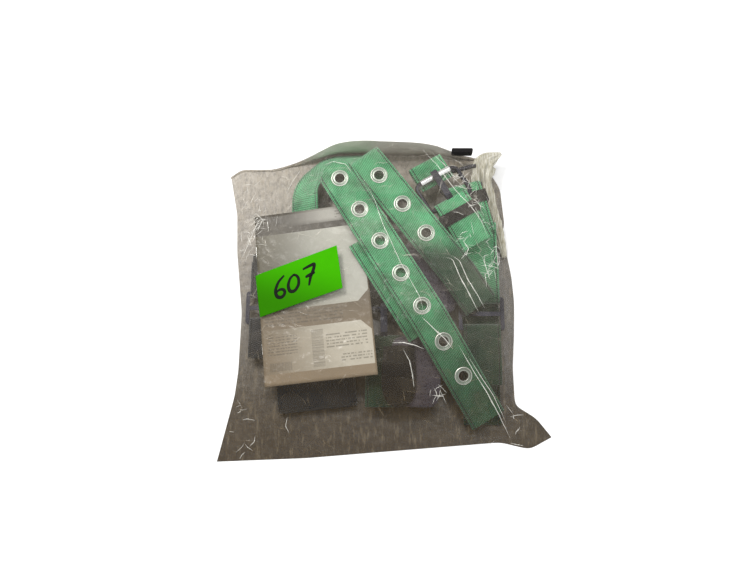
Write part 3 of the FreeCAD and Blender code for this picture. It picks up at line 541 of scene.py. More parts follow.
straps["shoulder_strap_left"] = webbing(
    "shoulder_strap_left_web", (0, 0, 15.2, 0), [(-94, 14, 0), (-98, 148, 38), (-66, 178, 36), (-12, 182, 0)],
    seed=31, bank=35.0, plan=True, climb=5.0, steepen=20.0,
)  # fmt: skip
for node, piece in straps.items():
    black = node in BLACK_STRAPS
    deep = SHADED_WEB if node in SHADED_STRAPS else FADING_SHADE_WEB if node == "leg_strap_right" else GREEN_WEB
    dress(piece, BLACK_WEB if black else deep)
    stands_for(piece, node)
print(len(straps), "straps")

# %% Eyelet holes
PITCH = 46.0
# For each strap: its spot, its top's height, the first eyelet and the slope's start along it, and a count.
EYELETS = {
    "leg_strap_left": (LEFT_LEG, 54.0, 35.0, 237.0, 7),
    "leg_strap_right": (RIGHT_LEG, 48.0, 35.0, 185.0, 3),
}


def eyelet_places(spot, top, first, drop_at, count):
    """Where each eyelet stands (x, y, z) and the direction that it faces, as it goes down the slope."""
    turn = math.radians(spot[3])
    along_way = np.array([math.cos(turn), math.sin(turn), 0])
    places = []
    for i in range(count):
        along = first + i * PITCH
        over = along - drop_at
        lean = math.radians(17) if over > 0 else 0.0
        run = drop_at + over if over > 0 else along
        height = top - max(0.0, over) * math.tan(lean)
        if over > 0:
            steps = (first + math.ceil((drop_at - first) / PITCH) * PITCH - drop_at) / math.cos(lean)
            sloped = steps + (i - math.ceil((drop_at - first) / PITCH)) * PITCH
            run, height = drop_at + sloped * math.cos(lean), top - sloped * math.sin(lean)
        centre = np.array([spot[0], spot[1], height]) + along_way * run
        facing = np.array([math.sin(lean) * math.cos(turn), math.sin(lean) * math.sin(turn), math.cos(lean)])
        places.append((centre, facing))
    return places


def square_to(facing):
    """Two directions at right angles to the way a ring faces."""
    side = np.cross([0.0, 1.0, 0.0], facing)
    side /= np.linalg.norm(side)
    return side, np.cross(facing, side)


def turned(name, profile, places, segments=48):
    """Rings turned about each place's own axis. profile is (radius, height) points, in millimetres."""
    profile = np.array(profile, float)
    angle = np.linspace(0, 2 * np.pi, segments, endpoint=False)
    blocks, faces, radii = [], [], []
    base = grid_quads(len(profile) + 1, segments, wrap=True)
    ring = np.concatenate([profile, profile[:1]])
    for number, (centre, facing) in enumerate(places):
        side, other = square_to(facing)
        spoke = np.cos(angle)[:, None] * side + np.sin(angle)[:, None] * other
        points = centre + ring[:, None, :1] * spoke + ring[:, None, 1:] * facing
        blocks.append(points.reshape(-1, 3))
        radii.append(np.repeat(ring[:, 0], segments))
        faces.append(base + number * points.shape[0] * segments)
    points, quads = np.concatenate(blocks) * MM, np.concatenate(faces).tolist()
    piece = mesh_from(name, points, quads, extra={"radius": np.concatenate(radii)})
    face_outwards(piece, weld=True)
    return piece


RING = [
    (5.6, -4.1), (7.7, -4.1), (7.7, -3.2), (6.35, -3.2), (6.35, 2.35), (9.9, 2.35), (10.35, 2.6), (10.4, 2.9),
    (10.1, 3.3), (9.4, 3.55), (8.7, 3.45), (8.1, 3.05), (7.3, 3.1), (6.6, 3.4), (6.0, 3.3), (5.6, 2.8),
]  # fmt: skip
WASHER = [(6.5, -3.2), (10.6, -3.2), (10.7, -2.8), (10.6, -2.42), (6.5, -2.42)]
PUNCH = [(0.01, -9), (6.6, -9), (6.6, 9), (0.01, 9)]
eyelets, washers = [], []
for node, (spot, top, first, drop_at, count) in EYELETS.items():
    places = eyelet_places(spot, top, first, drop_at, count)
    cutter = turned("punch", PUNCH, places, 32)
    cut = straps[node].modifiers.new("eyelet holes", "BOOLEAN")
    cut.object = cutter
    cut.solver = "EXACT"
    apply_modifiers(straps[node])
    bpy.data.objects.remove(cutter)
    rings = turned(node + "_rolled_eyelets", RING, places)
    stands_for(rings, node + "_eyelets")
    eyelets.append(rings)
    discs = turned(node + "_round_washers", WASHER, places, 32)
    stands_for(discs, node + "_washers")
    washers.append(discs)
print(sum(count for *_, count in EYELETS.values()), "eyelets")

# %% [markdown]
# The hardware is plated steel. Stamping leaves fine streaks, handling leaves small scratches and
# dull patches, so roughness follows noise. The rolled eyelets carry a painted highlight on each rim.

# %% Steel


def steel(name, colour, rough, rim_highlights=False):
    graph = Graph(name, Metallic=1.0, Specular_IOR_Level=0.5)
    place = graph.place()
    streak = graph.noise(place, 260.0, 4.0, stretch=(1, 1, 7))
    patch = graph.noise(place, 60.0, 3.0)
    base = graph.mix(graph.ramp(patch, 0.3, 0.75), colour, scaled(colour, 0.72))
    if rim_highlights:
        # Painted highlight: a near-white band on each eyelet's outer roll, and a weaker one in its bore.
        radius = graph.add("Attribute", attribute_name="radius").outputs["Fac"]
        outer = graph.ramp(radius, 9.3, 9.9)
        inner = graph.minus(1.0, graph.ramp(radius, 6.3, 6.9))
        base = graph.mix(graph.most(outer, graph.times(inner, 0.35)), base, tone(236, 234, 226))
    graph.set("Base Color", base)
    graph.set("Roughness", graph.plus(rough, graph.times(patch, 0.22)))
    graph.set("Normal", graph.bump(streak, 0.00008, 0.6))
    return graph.material


EYELET_STEEL = steel("rolled eyelet steel", tone(132, 142, 130), 0.3, rim_highlights=True)
BUCKLE_STEEL = steel("plated buckle steel", tone(206, 206, 204), 0.2)
DARK_STEEL = steel("blackened buckle steel", tone(46, 46, 54), 0.34)
BLACKENED = (
    "tongue_buckle_right_frame", "tongue_buckle_right_prong", "tongue_buckle_left", "torso_adjuster",
    "chest_link",
)  # fmt: skip
for piece in eyelets + washers:
    dress(piece, EYELET_STEEL)
STEEL_NODES = ("tongue_buckle", "torso_adjuster", "dorsal_d_ring", "chest_link", "booklet_staples")
for node, thing in nodes.items():
    if node.startswith(STEEL_NODES):
        dress(thing, DARK_STEEL if node.startswith(BLACKENED) else BUCKLE_STEEL)
print("steel dressed")

# %% [markdown]
# Pads are black spacer mesh over foam, bound at the edge. A pad is two domes on one rounded
# outline: the height falls off as a power of the distance to the edge, so that the middle is
# nearly flat and the rim pulls in. Rows of quilting press shallow channels into it.

# %% Padding


def black_mesh(name, light, dark, cell):
    graph = Graph(name, Roughness=0.8, Sheen_Weight=0.08, Specular_IOR_Level=0.2)
    place = graph.place()
    holes = graph.add("TexVoronoi", feature="F1")
    graph.feed(holes.inputs["Vector"], place)
    holes.inputs["Scale"].default_value = cell
    open_cell = graph.ramp(holes.outputs["Distance"], 0.1, 0.5)
    dust = graph.noise(place, 45.0, 5.0)
    colour = graph.mix(open_cell, dark, light)
    colour = graph.mix(graph.times(graph.ramp(dust, 0.45, 0.8), 0.35), colour, scaled(light, 1.8))
    # Painted shade: the mesh darkens towards the pack's foot.
    graph.set("Base Color", graph.paint_foot_shade(colour, 0.6))
    graph.set("Normal", graph.bump(graph.plus(open_cell, graph.times(dust, 1.5)), 0.0005, 0.3))
    return graph.material


PAD_MESH = black_mesh("black spacer mesh", tone(74, 68, 78), tone(34, 30, 38), 420.0)
POUCH_CLOTH = black_mesh("black coated cloth", tone(14, 11, 12), tone(6, 5, 6), 900.0)


def pillow(name, centre, turn, wide, long, low, high, rows=5, seed=3, square=5.0):
    """A pad on a superellipse outline. Height: half the thickness x (1 - distance^4)^0.35, less channels."""
    spread = np.linspace(0, 1, 42)
    angle = np.linspace(0, 2 * np.pi, 120, endpoint=False)
    reach = (np.abs(np.cos(angle)) ** square + np.abs(np.sin(angle)) ** square) ** (-1 / square)
    out = spread[:, None] ** 0.8
    x = out * (reach * np.cos(angle) * wide / 2)[None]
    y = out * (reach * np.sin(angle) * long / 2)[None]
    dome = np.clip(1 - out**4, 0, 1) ** 0.35
    half, middle = (high - low) / 2, (high + low) / 2
    channel = np.exp(-((((y / long + 0.5) * rows) % 1 - 0.5) ** 2) / 0.006)
    binding = np.exp(-(((1 - out) * wide / 2 - 5.0) ** 2) / 1.6)
    crumple = 0.5 * noise2(x / 22, y / 22, seed)
    top = middle + dome * (half * (1 - 0.16 * channel - 0.14 * binding) + crumple * 0.8) * 0.96
    bottom = middle - dome * half * 0.96 + x * 0
    turned_x = centre[0] + x * math.cos(turn) - y * math.sin(turn)
    turned_y = centre[1] + x * math.sin(turn) + y * math.cos(turn)
    upper = np.stack([turned_x, turned_y, top], -1)
    lower = np.stack([turned_x, turned_y, bottom], -1)[::-1]
    world = np.concatenate([upper, lower[1:]])
    quads = grid_quads(len(world), len(angle), wrap=True)
    piece = mesh_from(name, world * MM, quads.tolist())
    face_outwards(piece, weld=True)
    return piece


PADS = {
    "shoulder_pad_right": ((45.4, 22.6), 30, 50, 100, 17, 26, 6),
    "shoulder_pad_left": ((-66, -42), -4, 50, 100, 16, 25, 6),
    "leg_pad": ((36, -88), -4, 60, 82, 26, 33, 5),
    "dorsal_pad": ((-34.9, 62), 0, 67, 94, 12.6, 19.0, 5),
}
for node, (centre, turn, wide, long, low, high, rows) in PADS.items():
    cushion = pillow(node + "_foam", centre, math.radians(turn), wide, long, low, high, rows)
    dress(cushion, PAD_MESH)
    stands_for(cushion, node)
pouch = pillow("label_pouch_cloth", (17, -94), 0.0, 40, 72, 33.4, 36.6, 1, seed=8, square=2.6)
dress(pouch, POUCH_CLOTH)
stands_for(pouch, "label_pouch")
pad_low, pad_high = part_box("dorsal_pad")
print("dorsal pad's box", pad_low, pad_high)
lugs = new_object("dorsal_ring_lugs", nodes["dorsal_pad"].data.copy())
mesh = bmesh.new()
mesh.from_mesh(lugs.data)
pad_faces = [f for f in mesh.faces if all(v.co.z < 18.7 * MM for v in f.verts)]
bmesh.ops.delete(mesh, geom=pad_faces, context="FACES")
bmesh.ops.delete(mesh, geom=[v for v in mesh.verts if not v.link_faces], context="VERTS")
close_holes(mesh)
mesh.to_mesh(lugs.data)
mesh.free()
dress(lugs, POUCH_CLOTH)
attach(lugs, "pack")
for node in nodes:
    if "keeper" in node or node == "label_pouch_flap":
        dress(nodes[node], POUCH_CLOTH)
print(len(PADS), "pads")

# %% [markdown]
# Film drapes over what it holds like a tight tent. That shape has a simple rule: wherever the
# film touches nothing, each point is at the mean height of its neighbours; wherever it would
# dip into the contents, the contents hold it up. Repeating the rule on a raster settles it. A
# coarse raster settles first, and finer ones start from it, so that wide spans settle quickly.

# %% Contents raster
OUTLINE = {
    "bottom": [(-193, -188), (-90, -184), (-16, -178), (60, -172), (135, -166), (169, -174), (195, -160)],
    "right": [
        (195, -160), (178, -138), (154, -123), (153, -79), (156, -40), (158, 1), (156, 34), (151, 64),
        (145, 90), (150, 100), (146, 150), (124, 190),
    ],
    "top": [
        (-193, 166), (-180, 176), (-140, 176), (-96, 188), (-58, 197), (-26, 198), (20, 196), (70, 196),
        (124, 190),
    ],
    "left": [(-193, -188), (-176, -112), (-173, -82), (-172, -10), (-181, 66), (-183, 114), (-193, 166)],
}
CELL = 1.5
SIZE = 272
RASTER_X = (np.arange(SIZE) - SIZE / 2 + 0.5) * CELL
INSIDE_PACK = [n for n in nodes if not n.startswith(("bag_", "lot_", "lanyard_"))]


def triangles_of(names):
    """The corners of every triangle of some CAD nodes, in millimetres, as one array."""
    found = []
    for node in names:
        data = nodes[node].data
        data.calc_loop_triangles()
        corner = np.empty(len(data.loop_triangles) * 3, np.int32)
        data.loop_triangles.foreach_get("vertices", corner)
        place = np.empty(len(data.vertices) * 3, np.float32)
        data.vertices.foreach_get("co", place)
        found.append(place.reshape(-1, 3)[corner].reshape(-1, 3, 3))
    return np.concatenate(found).astype(float) / MM


def top_heights(triangles):
    """The greatest height over each raster cell, from points spread over each triangle by its size."""
    heights = np.full((SIZE, SIZE), -1.0)
    longest = np.linalg.norm(triangles - np.roll(triangles, 1, axis=1), axis=2).max(axis=1)
    steps = np.ceil(longest / 1.2).astype(int).clip(1, 400)
    for count in np.unique(steps):
        chosen = triangles[steps == count]
        a, b = np.meshgrid(np.arange(count + 1), np.arange(count + 1), indexing="ij")
        use = a + b <= count
        share = np.stack([a[use], b[use], count - a[use] - b[use]], 1) / count
        for block in np.array_split(chosen, max(1, len(chosen) * len(share) // 3_000_000)):
            points = np.einsum("sk,nkc->nsc", share, block).reshape(-1, 3)
            i = np.clip((points[:, 0] / CELL + SIZE / 2).astype(int), 0, SIZE - 1)
            j = np.clip((points[:, 1] / CELL + SIZE / 2).astype(int), 0, SIZE - 1)
            np.maximum.at(heights, (i, j), points[:, 2])
    return heights


def widest(field, reach=1):
    """Each cell's greatest neighbour within reach."""
    grown = field.copy()
    for _ in range(reach):
        padded = np.pad(grown, 1, mode="edge")
        grown = np.max([padded[i : i + SIZE, j : j + SIZE] for i in range(3) for j in range(3)], axis=0)
    return grown


contents = widest(top_heights(triangles_of(INSIDE_PACK)))
# The right buckle tilts and the keeper slides, so the film leaves them room.
TILTING = [n for n in nodes if n.startswith("tongue_buckle_right")]
SLIDING = ["chest_keeper"]
for names, lift, reach in ((TILTING, 5.0, 2), (SLIDING, 1.0, 4)):
    moving = top_heights(triangles_of(names))
    contents = np.maximum(contents, widest(np.where(moving > 0, moving + lift, -1.0), reach))
print("contents rise to", round(float(contents.max()), 1), "mm")

# %% Settle the film


def eased(points, fine=600, reach=20):
    """Evenly spaced points along straight runs, whose corners a moving average rounds off."""
    points = np.array(points, float)
    run = np.r_[0, np.cumsum(np.linalg.norm(np.diff(points, axis=0), axis=1))]
    spaced = np.linspace(0, run[-1], fine)
    curve = np.stack([np.interp(spaced, run, axis) for axis in points.T], 1)
    kernel = np.hanning(2 * reach + 1)
    kernel /= kernel.sum()
    ends = np.pad(curve, ((reach, reach), (0, 0)), mode="reflect", reflect_type="odd")
    return np.stack([np.convolve(axis, kernel, "valid") for axis in ends.T], 1)


def smooth_run(points, count, fine=600, reach=20):
    """The eased curve through some points, in a given count of points."""
    curve = eased(points, fine, reach)
    old, new = np.linspace(0, 1, fine), np.linspace(0, 1, count)
    return np.stack([np.interp(new, old, axis) for axis in curve.T], 1)


def sideways(line):
    """The direction at right angles to a flat line, to its left, at each of its points."""
    ahead = np.gradient(line, axis=0)
    ahead /= np.linalg.norm(ahead, axis=1, keepdims=True) + 1e-9
    return np.stack([-ahead[:, 1], ahead[:, 0]], 1)


def inside_outline():
    """Which raster cells are inside the bag's outline: an upright ray crosses it an odd number of times."""
    sides = [smooth_run(OUTLINE[k], 120) for k in ("bottom", "right", "top", "left")]
    ring = np.concatenate([sides[0], sides[1], sides[2][::-1], sides[3][::-1]])
    x, y = np.meshgrid(RASTER_X, RASTER_X, indexing="ij")
    inside = np.zeros_like(x, bool)
    for (ax, ay), (bx, by) in zip(ring, np.roll(ring, -1, axis=0)):
        if ay == by:
            continue
        crossing = ((ay > y) != (by > y)) & (x < (bx - ax) * (y - ay) / (by - ay) + ax)
        inside ^= crossing
    return inside


def neighbour_sum(field):
    """The sum of each cell's four neighbours."""
    padded = np.pad(field, 1, mode="edge")
    return padded[:-2, 1:-1] + padded[2:, 1:-1] + padded[1:-1, :-2] + padded[1:-1, 2:]


def settle(floor, free, start, rounds):
    """Repeats the tent rule: the mean of four neighbours, but never under the floor."""
    height = start.copy()
    for _ in range(rounds):
        height = np.where(free, np.maximum(neighbour_sum(height) / 4, floor), floor)
    return height


SEAM_HEIGHT = 0.9


def seam_height(x, y):
    """The bag's edge lies on the floor, except at its mouth, where the straps' ends lift it in one swell."""
    return SEAM_HEIGHT + 38 * np.exp(-(((x + 2) / 86) ** 4)) * np.clip((y - 165) / 20, 0, 1)


inside = inside_outline()
raster_x, raster_y = np.meshgrid(RASTER_X, RASTER_X, indexing="ij")
seam = seam_height(raster_x, raster_y)
support = np.where(inside & (contents > 0), contents + 0.9, seam)
height = np.full((34, 34), 30.0)
for level in (8, 4, 2, 1):
    size = SIZE // level
    coarse = support.reshape(size, level, size, level)
    floor = coarse.max(axis=(1, 3)) if level > 1 else support
    free = inside.reshape(size, level, size, level).mean(axis=(1, 3)) > 0.5
    if height.shape[0] != size:
        height = np.repeat(np.repeat(height, 2, 0), 2, 1)
    height = settle(floor, free, height, {8: 500, 4: 300, 2: 160, 1: 70}[level])
tent = height
held = widest(support)
print("film rises to", round(float(tent.max()), 1), "mm")


def sample(field, x, y):
    """The raster's value at any places, blended between cells."""
    a = np.clip(x / CELL + SIZE / 2 - 0.5, 0, SIZE - 1.001)
    b = np.clip(y / CELL + SIZE / 2 - 0.5, 0, SIZE - 1.001)
    i, j = a.astype(int), b.astype(int)
    fa, fb = a - i, b - j
    return (
        field[i, j] * (1 - fa) * (1 - fb) + field[i + 1, j] * fa * (1 - fb)
        + field[i, j + 1] * (1 - fa) * fb + field[i + 1, j + 1] * fa * fb
    )  # fmt: skip


# %% [markdown]
# The bag is a patch between four edge curves, so that its grid follows the real outline, flared
# corners and all. The front film takes the tent's height, plus crumples: sharp crests at three
# sizes, and long folds that run out from the corners, where the film was pulled. A few folds are
# placed one by one, because the eye looks for them along the long strap.

# %% Film patch


def patch(rows, columns):
    """A Coons patch: opposite edges blended both ways, less the blend of the corners."""
    u = np.linspace(0, 1, columns)[None, :, None]
    v = np.linspace(0, 1, rows)[:, None, None]
    bottom, top = smooth_run(OUTLINE["bottom"], columns)[None], smooth_run(OUTLINE["top"], columns)[None]
    left, right = smooth_run(OUTLINE["left"], rows)[:, None], smooth_run(OUTLINE["right"], rows)[:, None]
    near = (1 - u) * (1 - v) * bottom[:, :1] + u * (1 - v) * bottom[:, -1:]
    corners = near + (1 - u) * v * top[:, :1] + u * v * top[:, -1:]
    flat = (1 - v) * bottom + v * top + (1 - u) * left + u * right - corners
    return flat[..., 0], flat[..., 1]


# Long folds of the film: rise, brightness of the painted highlight on its crest, then the points of the fold,
# in millimetres.
LONG_FOLDS = [
    (1.8, 1.3, [(72, 42), (80, 39), (88, 19), (97, 2), (109, -21)]),
    (1.6, 1.2, [(80, 44), (88, 38), (97, 17), (107, 1), (117, -16)]),
    (0.9, 0.6, [(-23, 137), (-11, 112), (-2, 83), (9, 58), (19, 35), (30, 14), (41, -7), (46, -30)]),
    (1.2, 1.1, [(43, -31), (57, -44), (69, -54), (78, -65)]),
    (1.6, 0.9, [(85, -61), (102, -89), (116, -109), (130, -133), (146, -162)]),
    (1.4, 0.7, [(96, -73), (112, -96), (126, -116), (140, -144)]),
    (1.6, 1.0, [(9, -59), (22, -59), (35, -62), (45, -66)]),
    (1.6, 0.9, [(22, -67), (29, -79), (32, -93), (34, -108)]),
    (1.2, 0.8, [(47, 185), (61, 162), (75, 139), (86, 124), (103, 106), (115, 89), (124, 69)]),
    (1.0, 0.6, [(58, 181), (71, 161), (84, 141), (97, 127)]),
    (1.2, 0.9, [(116, 45), (120, 32), (124, 18)]),
    (1.2, 0.9, [(92, 65), (99, 54), (95, 43)]),
    (0.8, 0.6, [(-72, 156), (-61, 161), (-46, 158), (-37, 145)]),
    (1.2, 0.5, [(-101, 167), (-111, 150), (-119, 130)]),
    (1.2, 0.7, [(-150, 96), (-158, 79), (-168, 62), (-176, 51)]),
    (1.0, 0.6, [(-157, 107), (-146, 96), (-153, 79)]),
    (1.6, 0.4, [(-136, -115), (-153, -130), (-167, -150), (-179, -172)]),
    (1.2, 0.5, [(-111, -139), (-113, -149), (-109, -157)]),
    (1.6, 0.4, [(-75, -132), (-83, -147), (-95, -169)]),
    (1.4, 0.3, [(-45, -132), (-55, -142), (-70, -157)]),
    (1.6, 0.3, [(-5, -157), (30, -144), (68, -139), (101, -143)]),
    (1.4, 0.5, [(134, 72), (136, 50), (134, 33)]),
    (1.6, 0.4, [(136, 24), (143, -3), (144, -30)]),
    (1.2, 0.6, [(128, 44), (136, 39), (139, 50)]),
    (1.6, 0.4, [(152, -122), (167, -132), (181, -147)]),
    (1.2, 0.3, [(-160, 150), (-140, 120), (-134, 96)]),
    (1.4, 0.3, [(-166, -20), (-158, -60), (-162, -100)]),
    (1.4, 0.3, [(60, -150), (100, -158), (150, -160)]),
    (0.8, 0.4, [(40, 100), (62, 66), (84, 28)]),
]


def long_folds(x, y):
    """Each fold is a sharp crest: its rise falls off with the distance to its nearest straight part."""
    total = np.zeros_like(x)
    for rise, _, points in LONG_FOLDS:
        nearest = np.full_like(x, 99.0)
        for (ax, ay), (bx, by) in zip(points, points[1:]):
            dx, dy = bx - ax, by - ay
            share = np.clip(((x - ax) * dx + (y - ay) * dy) / (dx * dx + dy * dy), 0, 1)
            nearest = np.minimum(nearest, np.hypot(x - ax - share * dx, y - ay - share * dy))
        total += rise * np.exp(-nearest / 2.2)
    return total


def crumples(x, y):
    """Crests at three sizes, stronger where patches of slow noise say that the film is slack."""
    slack = 0.5 + 0.9 * np.clip(noise2(x / 60 + 3, y / 60 + 5, 21) + 0.25, 0, 1)
    return slack * (1.6 * creases(x, y, 46, 5) + 1.2 * creases(x, y, 21, 9) + 0.6 * creases(x, y, 9, 14))


def film_height(x, y, free):
    """The tent, its crumples and folds, but never into the contents. free: 0 at the seams, 1 inside."""
    draped = sample(tent, x, y)
    held_up = sample(held, x, y)
    shape = draped + (crumples(x, y) - 0.7 + long_folds(x, y)) * free
    return np.maximum(np.maximum(shape, np.minimum(held_up - 0.5, draped + 0.1)), SEAM_HEIGHT)


ROWS, COLUMNS = 300, 296
px, py = patch(ROWS, COLUMNS)
edge_u = np.linspace(0, 1, COLUMNS)[None]
edge_v = np.linspace(0, 1, ROWS)[:, None]
from_edge = np.minimum(np.minimum(edge_u, 1 - edge_u), np.minimum(edge_v, 1 - edge_v)) * 380
free_edge = np.clip(from_edge / 7.0, 0, 1)
film_z = film_height(px, py, free_edge)
front_points = np.stack([px, py, film_z], -1)
print("front film", front_points.shape[:2], "top", round(float(film_z.max()), 1))

# %% Film pieces


film_uv = np.stack([px / 100, py / 100], -1)
front = mesh_from("bag_front_sheet", front_points * MM, grid_quads(*px.shape)[:, ::-1].tolist(), film_uv)


def crest_glint_ribbon(points, wide, rise=0.35):
    """A pressed crest's painted highlight: a ribbon along a smooth curve that follows the film, widest in its
    middle.
    """
    line = smooth_run(points, 60)
    side = sideways(line)
    share = np.linspace(0, 1, 60)
    uneven = 0.75 + 0.6 * noise2(share * 9 + points[0][0], share * 0 + points[0][1], 83)
    half = wide / 2 * np.sin(np.pi * np.clip(share, 0.015, 0.985)) ** 0.6 * uneven
    rows = line[:, None] + side[:, None] * (half[:, None, None] * np.array([1.0, 0.0, -1.0])[None, :, None])
    height = film_height(rows[..., 0], rows[..., 1], 1.0) + rise + 0.25 * np.array([0.0, 1.0, 0.0])
    return np.concatenate([rows, height[..., None]], -1)


rng = np.random.default_rng(2024)
crests = [crest_glint_ribbon(points, 1.1 * bright + 0.35) for _, bright, points in LONG_FOLDS if bright > 0.45]
# Painted glints where the film is most crumpled: a middle, a spread and a count of short crests, in
# millimetres.
GLINT_CLUSTERS = [
    ((-161, 72), 9, 26), ((-166, 140), 7, 10), ((102, 136), 8, 22), ((127, 34), 6, 16), ((60, -116), 4, 9),
    ((94, 62), 6, 10), ((-150, 98), 7, 14), ((-160, -150), 14, 10), ((150, -146), 12, 10),
    ((112, 104), 9, 14), ((137, 60), 7, 12), ((88, 150), 8, 12),
]  # fmt: skip
for (cx, cy), spread, count in GLINT_CLUSTERS:
    for _ in range(count):
        x, y = cx + rng.normal(0, spread), cy + rng.normal(0, spread * 1.3)
        way, size = rng.uniform(0, np.pi), rng.uniform(2.5, 9)
        middle = (x + rng.normal(0, 0.8), y + rng.normal(0, 0.8))
        reach = (math.cos(way) * size, math.sin(way) * size)
        points = [(x - reach[0], y - reach[1]), middle, (x + reach[0], y + reach[1])]
        crests.append(crest_glint_ribbon(points, rng.uniform(0.4, 0.9)))
crest_points = np.stack(crests)
crest_faces = np.concatenate([grid_quads(60, 3) + number * 180 for number in range(len(crests))])
crest_glint_piece = mesh_from("bag_front_crest_glints", crest_points * MM, crest_faces[:, ::-1].tolist())
back_rows, back_columns = 120, 120
bx, by = patch(back_rows, back_columns)
back_edge = np.minimum(
    np.minimum(np.linspace(0, 1, back_columns)[None], 1 - np.linspace(0, 1, back_columns)[None]),
    np.minimum(np.linspace(0, 1, back_rows)[:, None], 1 - np.linspace(0, 1, back_rows)[:, None]),
)
back_z = 0.35 + 0.3 * np.clip(noise2(bx / 30, by / 30, 40), 0, 1) * np.clip(back_edge * 40, 0, 1)
# At the mouth the back sheet climbs in a short wall to the front film's edge.
WALL = 14
climb = np.linspace(0, 1, WALL + 1)[1:, None]
mouth = np.interp(bx[-1], px[-1], film_z[-1])
wall_x = bx[-1:] + 0.8 * noise2(bx[-1:] / 9, climb * 4, 71)
wall_y = by[-1:] + (1.6 * noise2(bx[-1:] / 12, climb * 3, 72) - 2.5) * (1 - climb) * climb * 4
bx, by = np.vstack([bx, wall_x]), np.vstack([by, wall_y])
back_z = np.vstack([back_z, 0.35 * (1 - climb) + mouth[None] * climb])
back = mesh_from(
    "bag_back_sheet", np.stack([bx, by, back_z], -1) * MM, grid_quads(*bx.shape).tolist(),
    np.stack([bx / 100, by / 100], -1),
)  # fmt: skip
for piece, node, slot in ((front, "bag_front_film", "clear_film"), (back, "bag_back_film", "smoky_film")):
    stands_for(piece, node)
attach(crest_glint_piece, "pack")


def sheet_area(piece):
    """The whole area of a piece's faces, in square metres."""
    areas = np.empty(len(piece.data.polygons), np.float32)
    piece.data.polygons.foreach_get("area", areas)
    return round(float(areas.sum()), 4)


print("film areas", sheet_area(front), sheet_area(back))
sheet_area(front)  # fmt: skip
sheet_area(back)
print("film meshes", len(front.data.polygons), len(back.data.polygons), "crests", len(crests))

# %% [markdown]
# Polyethylene film is clear but not invisible. Its crests are drawn as thin white lines, which
# are painted highlights; slack parts are hazy, and dust and scuffs dull it. The front film is
# nearly clear: its opacity follows slow noise and the lines where crumple facets meet, and
# painted shade makes it browner, darker and less clear towards the foot. The back film is dusky
# and opaque; painted shade makes it browner and darker towards its foot and its right side, and
# painted light makes it pale where it climbs at the mouth.

# %% Film materials


film = Graph("clear crumpled film", Specular_IOR_Level=0.5, Roughness=0.2)
place = film.place()
# Painted shade: the front film grows browner, darker and less clear towards the foot.
foot = film.minus(1.0, film.ramp(film.split(place)[1], -0.14, 0.12))
cloud = film.ramp(film.noise(place, 20.0, 5.0), 0.4, 0.75)
streak = film.ramp(film.noise(place, 62.0, 5.0, 0.6, stretch=(3.2, 0.7, 1.0)), 0.5, 0.8)
shade = film.facets(34.0, 0.1, (1.0, 1.9, 1.0), 0.6, "F1")
fine_shade = film.facets(90.0, 0.1, (1.8, 1.0, 1.0), -0.5, "F1")
broad_crease_glint = film.facets(34.0, 0.035, (1.0, 1.9, 1.0), 0.6)
fine_crease_glint = film.facets(90.0, 0.05, (1.8, 1.0, 1.0), -0.5)
broken = film.ramp(film.noise(place, 48.0, 4.0), 0.5, 0.7)
# Painted highlights: the lines where crumple facets meet are drawn paler and more opaque, as crests catching
# the light.
line = film.most(film.times(broad_crease_glint, broken), film.times(film.times(fine_crease_glint, streak), 0.6))
haze = film.plus(film.times(cloud, 0.45), film.times(shade, 0.3))
haze = film.plus(haze, film.times(film.times(fine_shade, streak), 0.35))
tint = film.mix(foot, tone(182, 174, 158), tone(62, 48, 26))
pale = film.mix(foot, tone(222, 216, 202), tone(132, 116, 88))
film.set("Base Color", film.mix(film.most(line, film.times(haze, 0.5)), tint, pale))
thin = film.plus(0.045, film.times(foot, 0.09))
opacity = film.plus(thin, film.times(haze, 0.15))
film.set("Alpha", film.math("MINIMUM", film.plus(opacity, film.times(line, 0.3)), 0.95))
relief = film.plus(film.times(shade, 0.4), film.plus(broad_crease_glint, film.times(fine_crease_glint, 0.4)))
film.set("Normal", film.bump(relief, 0.0006, 0.28))
dress(front, film.material)

# Painted highlights: the crest ribbons are near-white, half opaque film that stands for light caught on the
# crests.
crest_glint_paint = Graph("painted crest glint", Roughness=0.15, Specular_IOR_Level=1.0, Alpha=0.6)
crest_noise = crest_glint_paint.noise(crest_glint_paint.place(), 300.0, 3.0)
crest_glint_paint.set("Base Color", crest_glint_paint.mix(crest_noise, tone(214, 210, 200), tone(250, 248, 240)))
crest_glint_paint.set("Normal", crest_glint_paint.bump(crest_noise, 0.0003, 0.6))
dress(crest_glint_piece, crest_glint_paint.material)

backing = Graph("dusky back film", Roughness=0.34, Specular_IOR_Level=0.5)
spot = backing.place()
x_axis, y_axis, z_axis = backing.split(spot)
# Painted shade: the back film darkens towards the foot, and towards the right side below the mouth.
painted_light_rise = backing.ramp(y_axis, -0.19, 0.19)
brown = backing.mix(painted_light_rise, tone(54, 42, 24), tone(138, 129, 115))
below_mouth = backing.minus(1.0, backing.ramp(y_axis, 0.08, 0.18))
side_shade_share = backing.times(backing.ramp(x_axis, 0.03, 0.13), below_mouth)
brown = backing.mix(backing.times(side_shade_share, 0.9), brown, tone(48, 39, 22))
mottle = backing.noise(spot, 16.0, 6.0, 0.6)
brown = backing.mix(backing.times(backing.ramp(mottle, 0.35, 0.75), 0.3), brown, tone(96, 84, 68))
grain_lines = backing.noise(spot, 60.0, 6.0, 0.65, stretch=(3.0, 0.6, 1.0))
brown = backing.mix(backing.times(backing.ramp(grain_lines, 0.5, 0.8), 0.3), brown, tone(140, 130, 110))
fine_grain = backing.noise(spot, 170.0, 6.0, 0.7, stretch=(1.6, 0.7, 1.0))
brown = backing.mix(backing.times(backing.ramp(fine_grain, 0.42, 0.66), 0.5), brown, tone(34, 26, 16))
